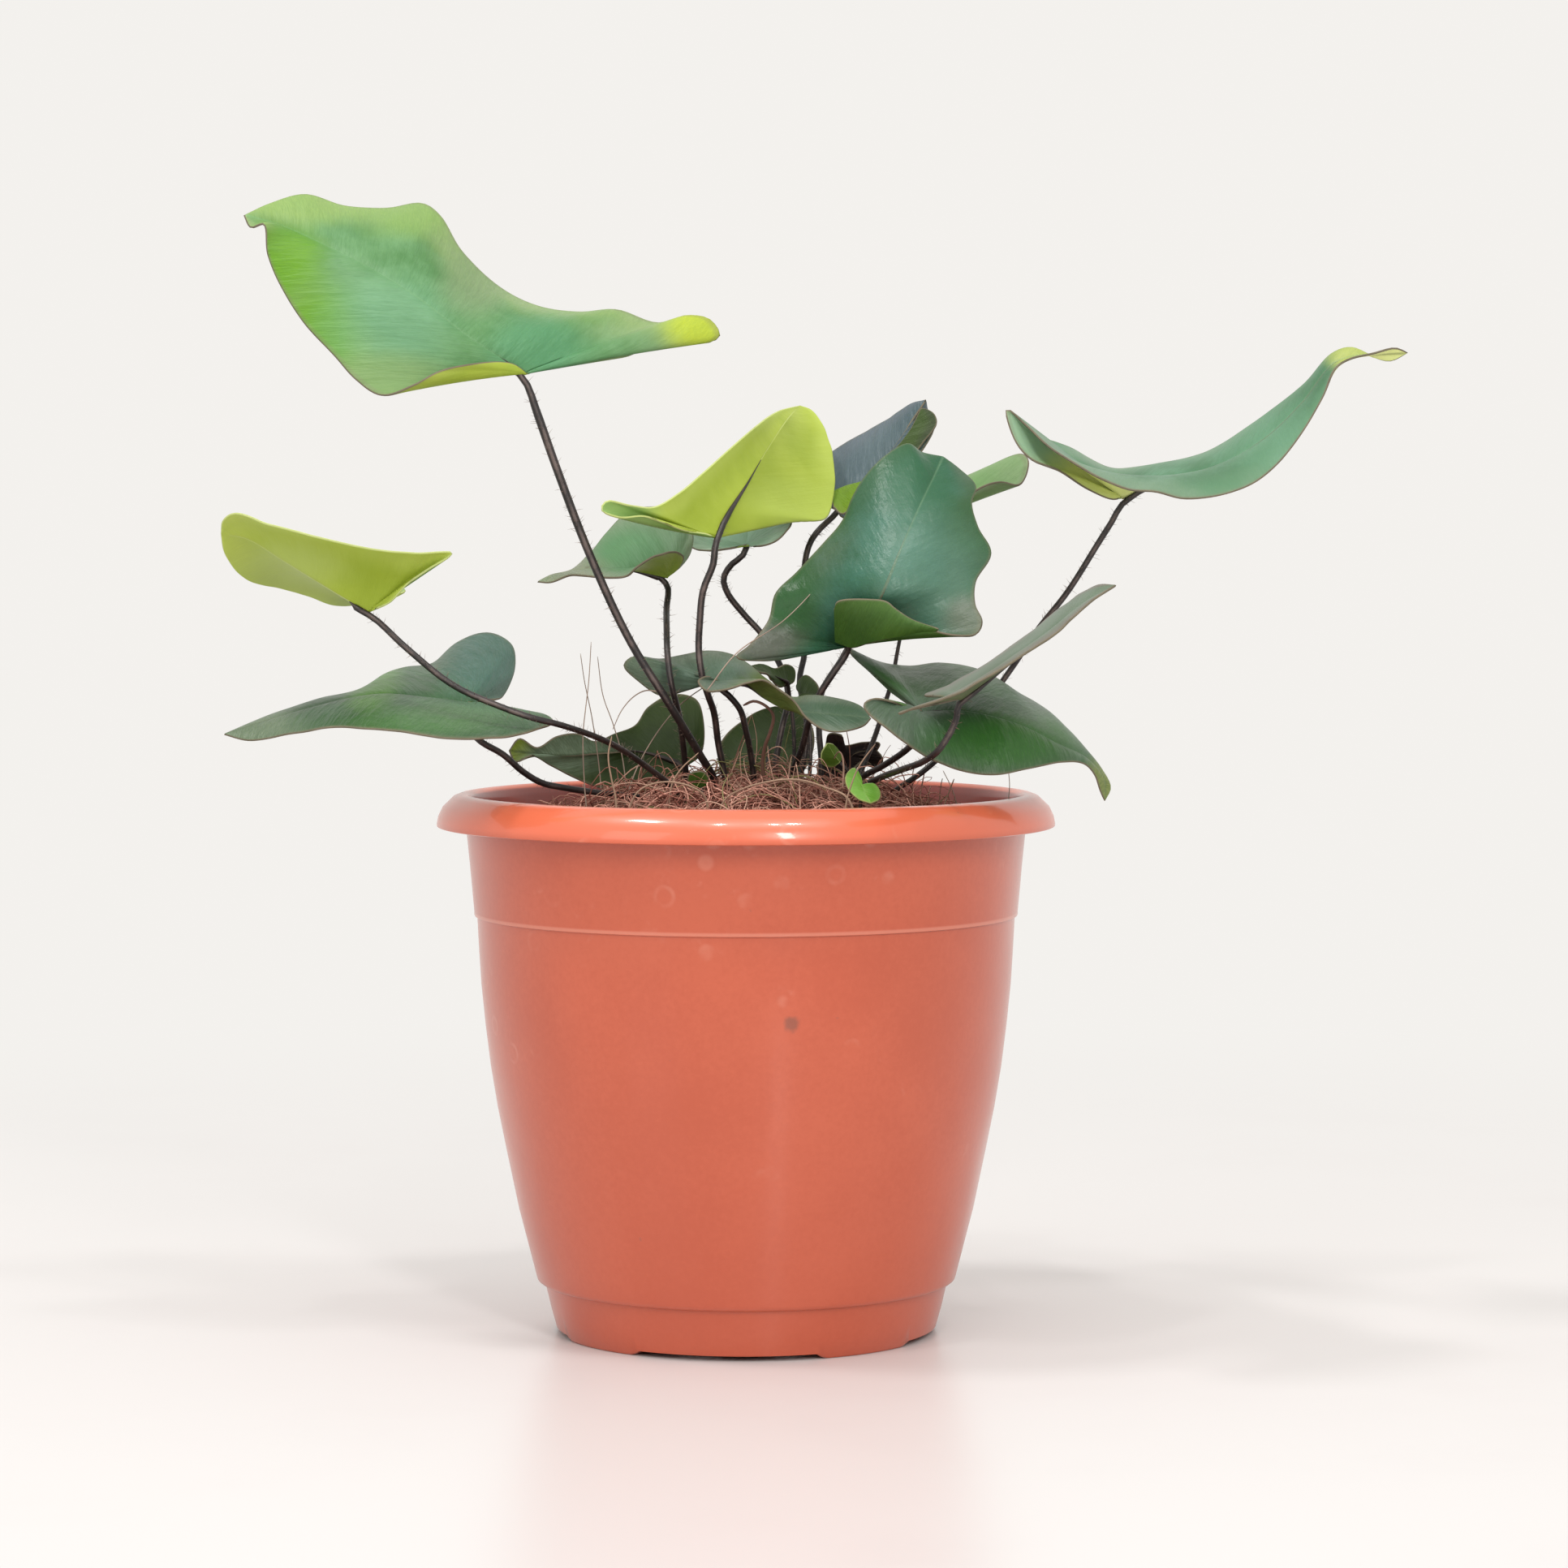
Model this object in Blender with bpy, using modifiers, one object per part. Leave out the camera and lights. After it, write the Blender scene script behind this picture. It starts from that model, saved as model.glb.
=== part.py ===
"""A heart fern in a plastic nursery pot, at real size.

The origin is on the pot's axis in the plane that its feet stand on, +Z is up and -Y is the front.
Lengths are in millimetres until a mesh or curve is made, where MM turns them into metres.
"""

import math

import bmesh
import bpy
import numpy as np
from mathutils import Matrix
from mathutils.bvhtree import BVHTree

MM = 0.001

# Driving dimensions of the pot
RIM_ACROSS = 127.0
POT_HEIGHT = 111.0
BASE_ACROSS = 78.0
WALL = 1.1
BAND_Z = 86.0
BAND_STEP = 0.5
FOOT_Z = 10.0
FOOT_HEIGHT = 1.2
FLOOR_TOP_Z = 2.8
DRAIN_HOLES = 6
DRAIN_RADIUS = 4.5
DRAIN_RING = 25.0
FEET = 4
FOOT_ARC_DEG = 32.0
FIRST_FOOT_DEG = -51.0
NOTCH_FLOOR = 0.1

# Driving dimensions of the plant and its soil
GAP = 0.3
STALK_GAP = 0.4
BLADE_THICKNESS = 0.7
STIPE_RADIUS = 1.0
TOP_TAPER = 0.82
FOOT_TAPER = 1.15
STALK_TIP = 0.3
SHOULDER = 1.4
SOIL_EDGE_Z = 99.0
SOIL_MOUND = 10.5
SOIL_MOUND_RADIUS = 30.0
ROOTSTOCK_CENTRE = (6.0, 2.0, 104.5)
ROOTSTOCK_HALF = (21.0, 10.5, 6.0)

# Fineness of the faceted solids
TURN_STEPS = 48
ACROSS_BLADE = 2
LOBE_SHARE = 0.36
FULL_BULGE_WIDTH = 16.0

# The plant's points are given where they appear from a viewpoint this far in front and this high,
# on the upright plane through the pot's axis, with how far behind that plane they really are.
VIEW_DISTANCE = 950.0
VIEW_HEIGHT = 164.7


def seen(points):
    """Places of points given as (across, up, behind): similar triangles from the viewpoint."""
    across, up, behind = np.array(points, float).T
    reach = (VIEW_DISTANCE + behind) / VIEW_DISTANCE
    return np.stack([across * reach, behind, VIEW_HEIGHT + (up - VIEW_HEIGHT) * reach], axis=1)


# Each frond: its colour, how far its blade bulges to the upper side, the stipe from blade to soil,
# the midrib from stipe to tip, and the two margins from the notch round the lobe to the tip.
# Left and right are as seen on the upper side with the tip ahead.
FRONDS = {
    "tall_left": {
        "colour": "mature",
        "bulge": 1.2,
        "stipe": [(-45, 195, -18), (-42.8, 189, -18), (-38.6, 177, -18), (-32.1, 160, -18), (-24, 142.5, -17.5),
                  (-16, 129.5, -16.5), (-9.5, 118.8, -10), (-6.4, 113, -5), (-6.5, 107, -2.5), (-6.5, 102, -1)],
        "midrib": [(-45, 197, -18), (-56, 204, -21), (-68, 213, -20), (-82, 221, -16), (-94, 226.5, -14),
                   (-102.3, 229, -16)],
        "left": [(-48, 198.8, -20), (-56, 198.7, -26), (-62, 197.5, -29), (-68, 194.5, -31), (-74.5, 192.5, -31),
                 (-79.5, 195.6, -29), (-84, 200.5, -26), (-90, 207, -23), (-94.5, 214, -20), (-97.5, 221, -18),
                 (-98.4, 227.2, -18), (-101, 226.6, -17)],
        "right": [(-43, 197.8, -15), (-39, 198, -12), (-30, 199.8, -6), (-24, 200.6, -3), (-20, 202.6, -1),
                  (-16.5, 205, 0), (-8, 203.2, 2), (-5.5, 204.5, 3), (-7.5, 207.8, 4), (-12, 208.6, 3),
                  (-18, 207.1, 2), (-26, 209.7, 2), (-34, 209.2, 2), (-42, 210.3, 1), (-50, 214, 0),
                  (-58, 221.6, 0), (-62.5, 229, 2), (-66, 231.3, 4), (-73, 230.4, 2), (-82, 231, -2),
                  (-90, 233.2, -6), (-97, 231.4, -11)],
    },
    "young_left": {
        "colour": "young",
        "bulge": 0.8,
        "stipe": [(-76, 146.6, -34), (-70, 141, -36), (-60, 133, -38), (-50, 128.5, -38), (-44, 126.4, -37.5),
                  (-38, 124.9, -35), (-28, 121.2, -25), (-20, 116, -14), (-14.5, 111.5, -9), (-9.5, 105.5, -7.5),
                  (-8.5, 101, -7.5)],
        "midrib": [(-77.5, 148.2, -34), (-86, 153.4, -36), (-95, 159, -37), (-102, 163.2, -37), (-107.4, 164.2, -35)],
        "left": [(-75.5, 149, -35), (-73, 150.2, -36), (-69.5, 153.8, -37), (-65, 157, -38), (-61, 159.4, -38),
                 (-60.4, 160.2, -38), (-68, 160.2, -40), (-75, 160.8, -42), (-82, 162, -44), (-90, 164, -45),
                 (-98, 166.1, -44), (-104.5, 168.3, -41), (-107, 166.8, -38)],
        "right": [(-76.5, 149.4, -31), (-73, 151, -24), (-70, 152.4, -18), (-72, 152.6, -13), (-78, 150, -14),
                  (-84, 149.5, -17), (-90, 151.5, -19), (-96, 153.3, -21), (-101, 154.2, -24), (-104.6, 157, -28),
                  (-106.8, 160.6, -32)],
    },
    "low_left": {
        "colour": "dark",
        "bulge": 0.8,
        "stipe": [(-57, 127.6, -21), (-56.6, 124, -21), (-54.6, 121.6, -20), (-50, 118.9, -18), (-46, 115.4, -16),
                  (-42, 113, -14), (-38, 112.1, -12), (-30, 110.9, -8), (-22, 110, -4), (-16.5, 107.6, 2),
                  (-13.5, 103.5, 6)],
        "midrib": [(-57, 129.6, -21), (-66, 130.8, -24), (-76, 131.4, -26), (-90, 128.4, -28), (-107, 123, -29)],
        "left": [(-53, 128.8, -22), (-46, 127.8, -24), (-41, 126.8, -27), (-39.8, 125.4, -31), (-44, 123.6, -37),
                 (-52, 122.3, -43), (-62, 122.3, -47), (-72, 123.6, -47), (-84, 124.4, -43), (-94, 123, -37),
                 (-102, 121.8, -32)],
        "right": [(-53.5, 130, -15), (-50, 131, -6), (-47.7, 136, 0), (-48.2, 141.2, 5), (-53, 143.7, 8),
                  (-59, 142, 8), (-64.2, 137.4, 6), (-70, 136.6, 3), (-74.5, 135, -2), (-79, 131.9, -8),
                  (-88, 130, -16), (-98, 126.8, -24)],
    },
    "young_centre": {
        "colour": "young",
        "bulge": 1.0,
        "stipe": [(-6.3, 161.6, -17), (-6.7, 158, -17), (-8.8, 152.5, -16.5), (-9.5, 146, -16), (-9.7, 140, -15.6),
                  (-9, 135, -15.8), (-7.8, 131, -14.5), (-6.6, 127.5, -12), (-5.7, 121, -9), (-4.4, 114.5, -7),
                  (-3, 108, -5.5), (-2, 102, -5)],
        "midrib": [(-6.3, 163.4, -16), (-3.6, 168.5, -11), (0, 174.2, -3), (4, 181, 9), (8, 187, 24),
                   (11, 190.2, 42)],
        "left": [(-4, 164.8, -11), (-1, 166.4, -6), (4, 168, 0), (9, 167, 4), (13, 166.8, 8), (16, 167.2, 12),
                 (17.6, 170.5, 18), (18.1, 176, 25), (17.5, 181, 31), (15.8, 186, 36), (13.4, 189.3, 40)],
        "right": [(-8.5, 164.1, -18), (-12, 164.7, -21), (-17, 166.4, -25), (-21, 167.7, -28), (-26, 167.6, -30),
                  (-29.7, 169, -31), (-28.6, 170.7, -31), (-23.5, 170, -29), (-19, 169.5, -26), (-14, 172.2, -21),
                  (-9, 176.3, -14), (-4, 180.8, -5), (2, 186, 8), (6.5, 189, 25)],
    },
    "centre_left": {
        "colour": "grey",
        "bulge": 0.5,
        "stipe": [(-16.1, 153.4, 3.6), (-16.3, 149, 0), (-16.3, 145, -7), (-16.1, 139, -13.6), (-15.4, 133.5, -15),
                  (-13.8, 127, -12), (-13, 121.6, -9), (-12.4, 115, -5), (-12, 109, -1), (-12, 103, -0.5)],
        "midrib": [(-16.2, 155.4, 4), (-24, 157, 1), (-32, 156.9, -2), (-38, 155.7, -4), (-42.6, 154.3, -5)],
        "left": [(-14, 157, 1), (-13, 159.6, -4), (-15.5, 160.4, -7), (-19.5, 159.2, -9), (-22.3, 157.4, -10),
                 (-24.5, 155.4, -9), (-30, 155.2, -8), (-36, 155.6, -6.5), (-40, 154.2, -5.5)],
        "right": [(-13.5, 157.4, 7), (-11.6, 160, 9), (-11, 163.6, 11), (-12.5, 167.6, 13), (-17, 169.6, 14),
                  (-24, 168.5, 12), (-28.4, 164.4, 9), (-32, 160, 5), (-36, 156.6, -0.5), (-40, 155.6, -3.5)],
    },
    "behind_young": {
        "colour": "mature",
        "bulge": 0.8,
        "stipe": [(-0.6, 159.8, 8), (-3.2, 157.6, 9), (-4.6, 155, 10), (-3.8, 152, 11), (-0.4, 147.6, 12),
                  (3.4, 143.4, 12), (6.6, 138, 11), (8.2, 134, 10), (8.6, 129.5, 9), (7.4, 124.5, 8.2),
                  (6.2, 118, 7), (5.5, 112, 6), (5, 102, 5)],
        "midrib": [(0, 161.8, 7), (1, 168, 16), (2, 174, 28), (3, 180, 44)],
        "left": [(-4, 161, 9), (-8, 160.7, 13), (-11.5, 161.6, 18), (-12.4, 164.6, 22), (-10.5, 168.5, 27),
                 (-7, 173, 33), (-2, 177.6, 39)],
        "right": [(3, 161.6, 4), (6, 162.6, 3), (8.6, 165, 5), (9.6, 168.5, 11), (9.5, 172, 19), (8, 176, 28),
                  (5.5, 178.8, 36)],
    },
    "back_upright": {
        "colour": "bluish",
        "bulge": 0.6,
        "stipe": [(17.6, 167.4, 29), (15.6, 165.6, 29), (13.4, 162.8, 28), (12.2, 159, 27), (12, 152, 24),
                  (12, 145, 21), (12, 139.5, 19), (11, 134, 17), (12.4, 126, 14), (12, 118, 11), (9.5, 110, 9.5),
                  (7, 102, 9)],
        "midrib": [(18.4, 169.2, 30), (24.5, 175, 30), (30.5, 182, 31), (36.8, 191.4, 33)],
        "left": [(15.5, 170.5, 34), (12.5, 174, 39), (14, 178.4, 43), (17.5, 180.8, 43), (23, 184, 41),
                 (29, 187.4, 38), (34, 190.7, 35)],
        "right": [(20.2, 167.4, 27), (25, 168, 25), (30, 172, 26), (35, 179.6, 29), (38.2, 185, 32),
                  (38.5, 187.6, 34), (37.2, 189.4, 35)],
    },
    "big_centre": {
        "colour": "dark",
        "bulge": 1.2,
        "stipe": [(20.4, 139.2, -14), (18.2, 136, -14), (15, 131, -13), (13, 126, -11), (11.4, 120, -8),
                  (8.5, 113, -4.5), (6.4, 107.5, -2.5), (5, 102, -2)],
        "midrib": [(20.6, 141, -14), (24, 146.4, -22), (27.6, 151.3, -28), (31.4, 160, -25), (35.5, 169.5, -17),
                   (40.4, 179.8, -4)],
        "left": [(17, 141.4, -14), (12, 140.4, -17), (8, 138.6, -20), (3, 138.2, -23), (-2, 138.8, -25),
                 (1, 141.4, -22), (4.8, 146.5, -18), (6.2, 152, -16), (10.5, 156.2, -14), (15.5, 161.5, -12),
                 (20, 167, -11), (22.2, 172, -10), (25.6, 177.2, -9), (33, 182.5, -6), (36, 180.7, -4)],
        "right": [(26, 142.6, -16), (31, 144, -20), (36, 145.2, -26), (40, 143.8, -30), (44, 143.2, -31),
                  (47, 143.5, -30), (48.4, 146, -28), (46.9, 149.6, -25), (47, 154.4, -21), (50.2, 160.4, -16),
                  (47.4, 165.6, -14), (46.2, 170.4, -12), (47, 174, -8), (43.6, 177.4, -6)],
    },
    "back_right": {
        "colour": "mature",
        "bulge": 0.6,
        "stipe": [(29, 159.4, 24), (27, 153, 22), (24, 147, 20), (20, 139, 16), (15.5, 131.5, 13), (15, 124, 11),
                  (15.5, 116, 8), (14.5, 109, 7), (13, 102, 7)],
        "midrib": [(29, 161.2, 25), (30, 167.4, 31), (31, 176.6, 40)],
        "left": [(27, 159.4, 28), (24.4, 160.6, 33), (23.6, 165.4, 36), (25, 171, 38), (28, 175, 40)],
        "right": [(33, 159.4, 21), (40, 165, 15), (47, 172.8, 12), (52, 174.8, 12), (56.2, 174.1, 12),
                  (57.9, 178.6, 14), (56.6, 180.3, 16), (50, 178, 21), (44, 175.4, 27), (37, 176.4, 34)],
    },
    "tall_right": {
        "colour": "mature",
        "bulge": 0.8,
        "stipe": [(76.8, 169.8, 5), (75.4, 167.2, 5), (72.4, 162.4, 6), (66, 152.2, 8), (60, 144.6, 10),
                  (54.6, 136.6, 12), (48, 127.5, 12), (42, 120.4, 11), (36, 115, 9), (31, 111.6, 7),
                  (27, 108, 6), (24, 103.5, 5)],
        "midrib": [(77.2, 171.6, 5), (84, 175, 3), (95, 177.5, 2), (106, 183.5, 0), (114, 191, 0),
                   (120.6, 199, 0), (128, 200.8, 0), (135.4, 201.2, 0)],
        "left": [(76, 174, 9), (70, 178.4, 15), (63, 182, 20), (61.8, 183.2, 22), (66, 181.8, 23),
                 (75, 177.6, 21), (85, 178.6, 18), (95, 181, 14), (105, 187.4, 10), (114, 194.3, 6),
                 (120.2, 201, 3), (124, 202.2, 1.4), (128.4, 200.4, 1.2), (132, 199.6, 1)],
        "right": [(75, 171.3, 2), (70, 173.3, -3), (64, 177.2, -6), (58.5, 179.4, -6), (55.2, 183.2, -5),
                  (53.4, 189.6, -4), (57.5, 186.2, -5), (62, 182, -9), (68, 178.2, -12), (74, 174.8, -14),
                  (79, 173, -14), (84, 172.7, -14), (90, 171.3, -14), (98, 172.2, -13), (105, 175.2, -11),
                  (112, 182, -8), (118, 191.8, -5), (120.8, 198, -3), (124, 200, -1.4), (128.4, 201, -1.2),
                  (133, 202.1, -1)],
    },
    "slim_right": {
        "colour": "grey",
        "bulge": 0.6,
        "stipe": [(43.6, 128.8, -49), (43.3, 126.4, -48), (41.8, 123, -47), (39.5, 119.6, -46), (36.5, 117.4, -42),
                  (32, 115.7, -34), (27.5, 114, -24), (24, 112, -16), (20.5, 108.4, -9), (18, 103.5, -5)],
        "midrib": [(44.2, 130.4, -49), (52, 136.3, -49), (61, 142.9, -48), (69, 149.5, -46), (75.8, 153.5, -42)],
        "left": [(42, 130.7, -43), (38, 130.9, -36), (37, 131, -31), (42, 133.3, -27), (50, 137.8, -25),
                 (58, 143.4, -26), (66, 149.8, -31), (72, 153.4, -37)],
        "right": [(41, 129.6, -53), (36, 128.6, -58), (31.4, 127.3, -63), (35, 128.3, -68), (43, 131.2, -71),
                  (50, 134.8, -70), (57, 139.2, -67), (64, 144, -61), (70.4, 149.9, -52)],
    },
    "big_low_right": {
        "colour": "dark",
        "bulge": 1.4,
        "stipe": [(36.4, 125.6, -27), (35.6, 122.6, -25), (33, 119.8, -22), (28, 116.4, -16), (24, 114.2, -11),
                  (21.4, 111, -6), (19.2, 107, -2.4), (18, 102.5, 0)],
        "midrib": [(36, 127.8, -29), (46, 127.6, -31), (56, 125, -30), (64, 121, -27), (70, 118, -23),
                   (73.6, 113.6, -21), (73.8, 109.4, -21)],
        "left": [(34, 128.9, -26), (30, 131.5, -20), (25.4, 136, -14), (21.2, 140.1, -9), (27, 138, -5),
                 (33, 136.9, -3), (40, 137.6, 0), (48, 136, 0), (56, 131.4, -4), (63, 126.8, -10),
                 (69, 120.6, -16), (73, 115.8, -19), (74.9, 112, -20)],
        "right": [(33.5, 128.1, -32), (30, 129.7, -36), (26, 130.2, -38), (24.2, 128.8, -39), (27, 125.7, -40),
                  (33, 121, -40), (38, 118, -39), (44, 115.6, -38), (51, 114.7, -38), (58, 116, -35),
                  (65, 117.3, -31), (69.4, 117, -26), (71.8, 114.6, -23), (72.9, 111.5, -22)],
    },
    "low_twisted": {
        "colour": "grey",
        "bulge": 0.3,
        "stipe": [(-5.2, 132.4, -15), (-3.6, 131, -15), (-1.2, 128, -14), (0, 123.6, -12), (1, 118.6, -9),
                  (1.6, 113, -7), (1.4, 107.5, -5.5), (1, 102, -4)],
        "midrib": [(-6, 134, -15), (0, 133.6, -17), (4, 130.6, -19), (8, 128.4, -21), (12, 127.6, -23),
                   (18, 127, -25), (25.5, 126.2, -26)],
        "left": [(-9.5, 133.2, -11), (-13.5, 132, -10), (-17, 130.9, -10), (-22, 134, -9.5), (-25, 137.2, -9),
                 (-23.4, 138.8, -8.5), (-17, 138.5, -7), (-8, 140.1, -4), (-3.4, 139.4, -4), (0, 137.6, -7),
                 (4, 134.4, -12), (9, 130.6, -16), (13, 130.9, -18), (19, 130.2, -20), (23.6, 128.6, -23)],
        "right": [(-8.4, 134.8, -20), (-9.8, 133.8, -22.5), (-8.6, 132.2, -24), (-6, 131.8, -25), (-3, 132.4, -25),
                  (0.4, 133.6, -25), (3.6, 134, -25), (7, 132, -25.5), (10, 129.6, -26), (12.4, 126.4, -27),
                  (16, 123.9, -28), (20, 123.6, -29), (24, 124.7, -28)],
    },
    "low_back_left": {
        "colour": "olive",
        "bulge": 0.6,
        "stipe": [(-11.8, 114.6, 14), (-9.6, 109.5, 12), (-7, 103, 9)],
        "midrib": [(-12.6, 116.4, 15), (-22, 119.2, 16), (-30, 119, 12), (-38, 118.6, 8), (-48.6, 119.6, 4)],
        "left": [(-9.4, 119, 18), (-8.8, 125, 21), (-10.5, 130.2, 23), (-15, 131, 24), (-20, 128.5, 24),
                 (-22.6, 124.8, 22), (-27, 123, 18), (-31, 121.4, 13), (-35, 123, 9), (-39, 122.4, 7),
                 (-43, 120.2, 5.5), (-46.6, 122, 4.5)],
        "right": [(-13, 113.4, 14), (-18, 112, 13), (-25, 111, 12), (-31, 112.4, 11), (-36, 114.5, 9.5),
                  (-40, 116.6, 8), (-44, 118.6, 5), (-47.4, 117.4, 4)],
    },
    "low_back_centre": {
        "colour": "olive",
        "bulge": 0.8,
        "stipe": [(4, 113.2, 14), (3.4, 109, 11.5), (2.6, 103, 10)],
        "midrib": [(4, 115, 15), (5, 121, 20), (6, 128.6, 27)],
        "left": [(8, 113.6, 14), (12, 116, 15), (13.8, 120.6, 18), (13.2, 125, 21), (10, 127.6, 25)],
        "right": [(0, 113.8, 14), (-4.6, 115.2, 15), (-5.6, 119.4, 17), (-4, 122.8, 20), (-0.4, 125.8, 23),
                  (3, 127.8, 26)],
    },
    "withered": {
        "colour": "withered",
        "bulge": -1.0,
        "radius": 0.6,
        "stipe": [(19.6, 111.2, 10.6), (18.6, 107.5, 10), (17.4, 103, 10)],
        "midrib": [(19.6, 112.6, 11), (20.2, 116, 12.4), (22.4, 119, 12), (26.8, 119.6, 10)],
        "left": [(16.6, 112.2, 10), (14.4, 113.6, 11.5), (15.8, 117, 14), (16.4, 120.4, 13), (17.2, 123, 11),
                 (19.5, 122.8, 10), (20.2, 120.6, 13), (24, 121.2, 12), (27.4, 121, 10)],
        "right": [(22, 112.8, 9.5), (22.4, 116, 9), (24.4, 117.4, 11), (27.4, 115.8, 10), (28, 118, 8.5)],
    },
    "small_olive": {
        "colour": "olive",
        "bulge": 0.6,
        "radius": 0.6,
        "stipe": [(8.8, 131.6, 2), (9.6, 126, 3), (9.9, 119, 3), (9.6, 112, 2.5), (9, 103, 2.5)],
        "midrib": [(8.4, 133.2, 2), (6, 134.6, -0.5), (3.4, 136, -2.6), (0.8, 136.9, -4)],
        "left": [(9.8, 134, 3.6), (9.8, 136.4, 4.4), (8.2, 137.2, 3.4), (6, 136.4, 1.4), (3.4, 137.3, 0)],
        "right": [(6.8, 132.8, 0), (5.2, 134.2, -2), (4.2, 135.4, -4), (2.4, 135.8, -5)],
    },
    "small_dark": {
        "colour": "olive",
        "bulge": 0.5,
        "radius": 0.6,
        "stipe": [(11.6, 129.6, 4.6), (13, 124, 5), (13.2, 117, 3.5), (12.6, 110, 2.5), (12, 103, 2)],
        "midrib": [(11.4, 131.2, 4.6), (13, 131.4, 2.6), (15.3, 131.2, 0)],
        "left": [(10.4, 132.8, 6.5), (12, 135, 6), (14.2, 133.6, 3.6)],
        "right": [(10.8, 130.4, 2.4), (12.4, 129.6, 0.6), (14.4, 130.2, -0.8)],
    },
    "seedling": {
        "colour": "young",
        "bulge": 0.4,
        "radius": 0.5,
        "stipe": [(23.8, 111.2, -25.6), (23.4, 107, -25), (23.2, 97, -25)],
        "midrib": [(23.8, 112.4, -26), (24.4, 110.8, -27.5), (25.6, 108.8, -29)],
        "left": [(24.8, 112.7, -25), (26.4, 112.6, -25), (27.4, 111.2, -26), (27.2, 109.6, -27.6)],
        "right": [(23.5, 114.2, -25), (22.2, 115.9, -24.6), (20.7, 114.5, -25), (20.9, 112.2, -26.4),
                  (23, 109.8, -28)],
    },
    "small_light": {
        "colour": "young",
        "bulge": 0.3,
        "radius": 0.5,
        "stipe": [(20, 116.4, 0), (21.2, 114.8, 0), (21.3, 111.6, -0.4), (21, 107.4, -0.4), (20.8, 103, -0.4)],
        "midrib": [(19.2, 117.3, 0), (18, 118.8, -0.8), (16.7, 121, -1)],
        "left": [(17.8, 116.4, -0.6), (15.8, 117, -1.4), (15.6, 119, -1.6)],
        "right": [(19.6, 118.4, 0.8), (18.8, 119.8, 0.6), (17.8, 120.8, -0.2)],
    },
    "tiny_leaf": {
        "colour": "mature",
        "bulge": 0.3,
        "radius": 0.45,
        "stipe": [(-9, 111.2, -12), (-8.6, 107, -12), (-8.4, 102, -12)],
        "midrib": [(-9.2, 112.2, -12), (-9.8, 113.6, -13), (-10.6, 115.2, -14)],
        "left": [(-10.6, 112, -12.4), (-11.8, 113.2, -13.2), (-11.7, 114.6, -13.8)],
        "right": [(-8.2, 112.6, -12), (-7.9, 114, -12.8), (-9, 115.2, -13.6)],
    },
}

# Bare stalks and dry straws that stand in the soil: colour, radius and points, as for the fronds
STALKS = {
    "broken_stipe": ("stipe", 0.95, [(31.8, 143.6, 4), (31, 139.5, 4), (30, 134, 4.5), (28.8, 130, 5),
                                     (27.2, 124.6, 5), (25.4, 119.6, 4), (23.4, 114.6, 2.8), (23, 109, 2),
                                     (23, 103, 1.5)]),
    "bent_petiole": ("petiole", 0.7, [(-0.6, 128.9, -17.5), (1.6, 129.8, -17.6), (4.2, 128.7, -17.4),
                                      (5.6, 126.8, -16.8), (5, 123.6, -15.4), (3.9, 120.6, -13.6),
                                      (3.4, 116.6, -11), (3.9, 112, -9), (4.6, 107.5, -7.5), (4.6, 103, -7)]),
    "straw_upright": ("straw", 0.5, [(-27.6, 122.6, -30), (-28.4, 118.6, -30), (-28.1, 113, -30),
                                     (-27.2, 108, -30), (-27, 95, -30)]),
    "straw_front_arc": ("straw", 0.5, [(-6.4, 98, -26), (-5, 109.4, -26.6), (-1, 112.4, -28), (4, 113.7, -28),
                                       (10, 113.9, -28), (16, 112.5, -27.6), (21, 110, -30), (23.6, 96, -31)]),
    "straw_left_arc": ("straw", 0.5, [(-26.4, 97, -25), (-23.4, 111, -25.4), (-18, 113.4, -26),
                                      (-12, 112.2, -26), (-8.4, 109.4, -25), (-8.6, 98, -23.4)]),
    "straw_leaning": ("straw", 0.45, [(-9.8, 119.2, -20.6), (-12.6, 116.2, -21), (-14.2, 112.4, -21),
                                      (-14.8, 108, -21), (-15, 98, -21)]),
    "straw_pair": ("straw", 0.45, [(26.6, 121, -33), (24, 117.4, -33.4), (22, 114, -34), (20.6, 109, -34),
                                   (20, 95, -34)]),
    "straw_right": ("straw", 0.45, [(42.8, 113.8, -20), (41.8, 111.2, -20), (40.8, 107.5, -20), (40.2, 95, -20)]),
}


def clear_scene():
    """Take away the start-up objects."""
    for obj in list(bpy.data.objects):
        bpy.data.objects.remove(obj)


def new_collection(name):
    """A collection in the scene."""
    collection = bpy.data.collections.new(name)
    bpy.context.scene.collection.children.link(collection)
    return collection


def material(name, colour, roughness):
    """A Principled material of one colour."""
    made = bpy.data.materials.new(name)
    made.use_nodes = True
    shader = made.node_tree.nodes["Principled BSDF"]
    shader.inputs["Base Color"].default_value = (*colour, 1.0)
    shader.inputs["Roughness"].default_value = roughness
    shader.inputs["Metallic"].default_value = 0.0
    made.diffuse_color = (*colour, 1.0)
    return made


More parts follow.
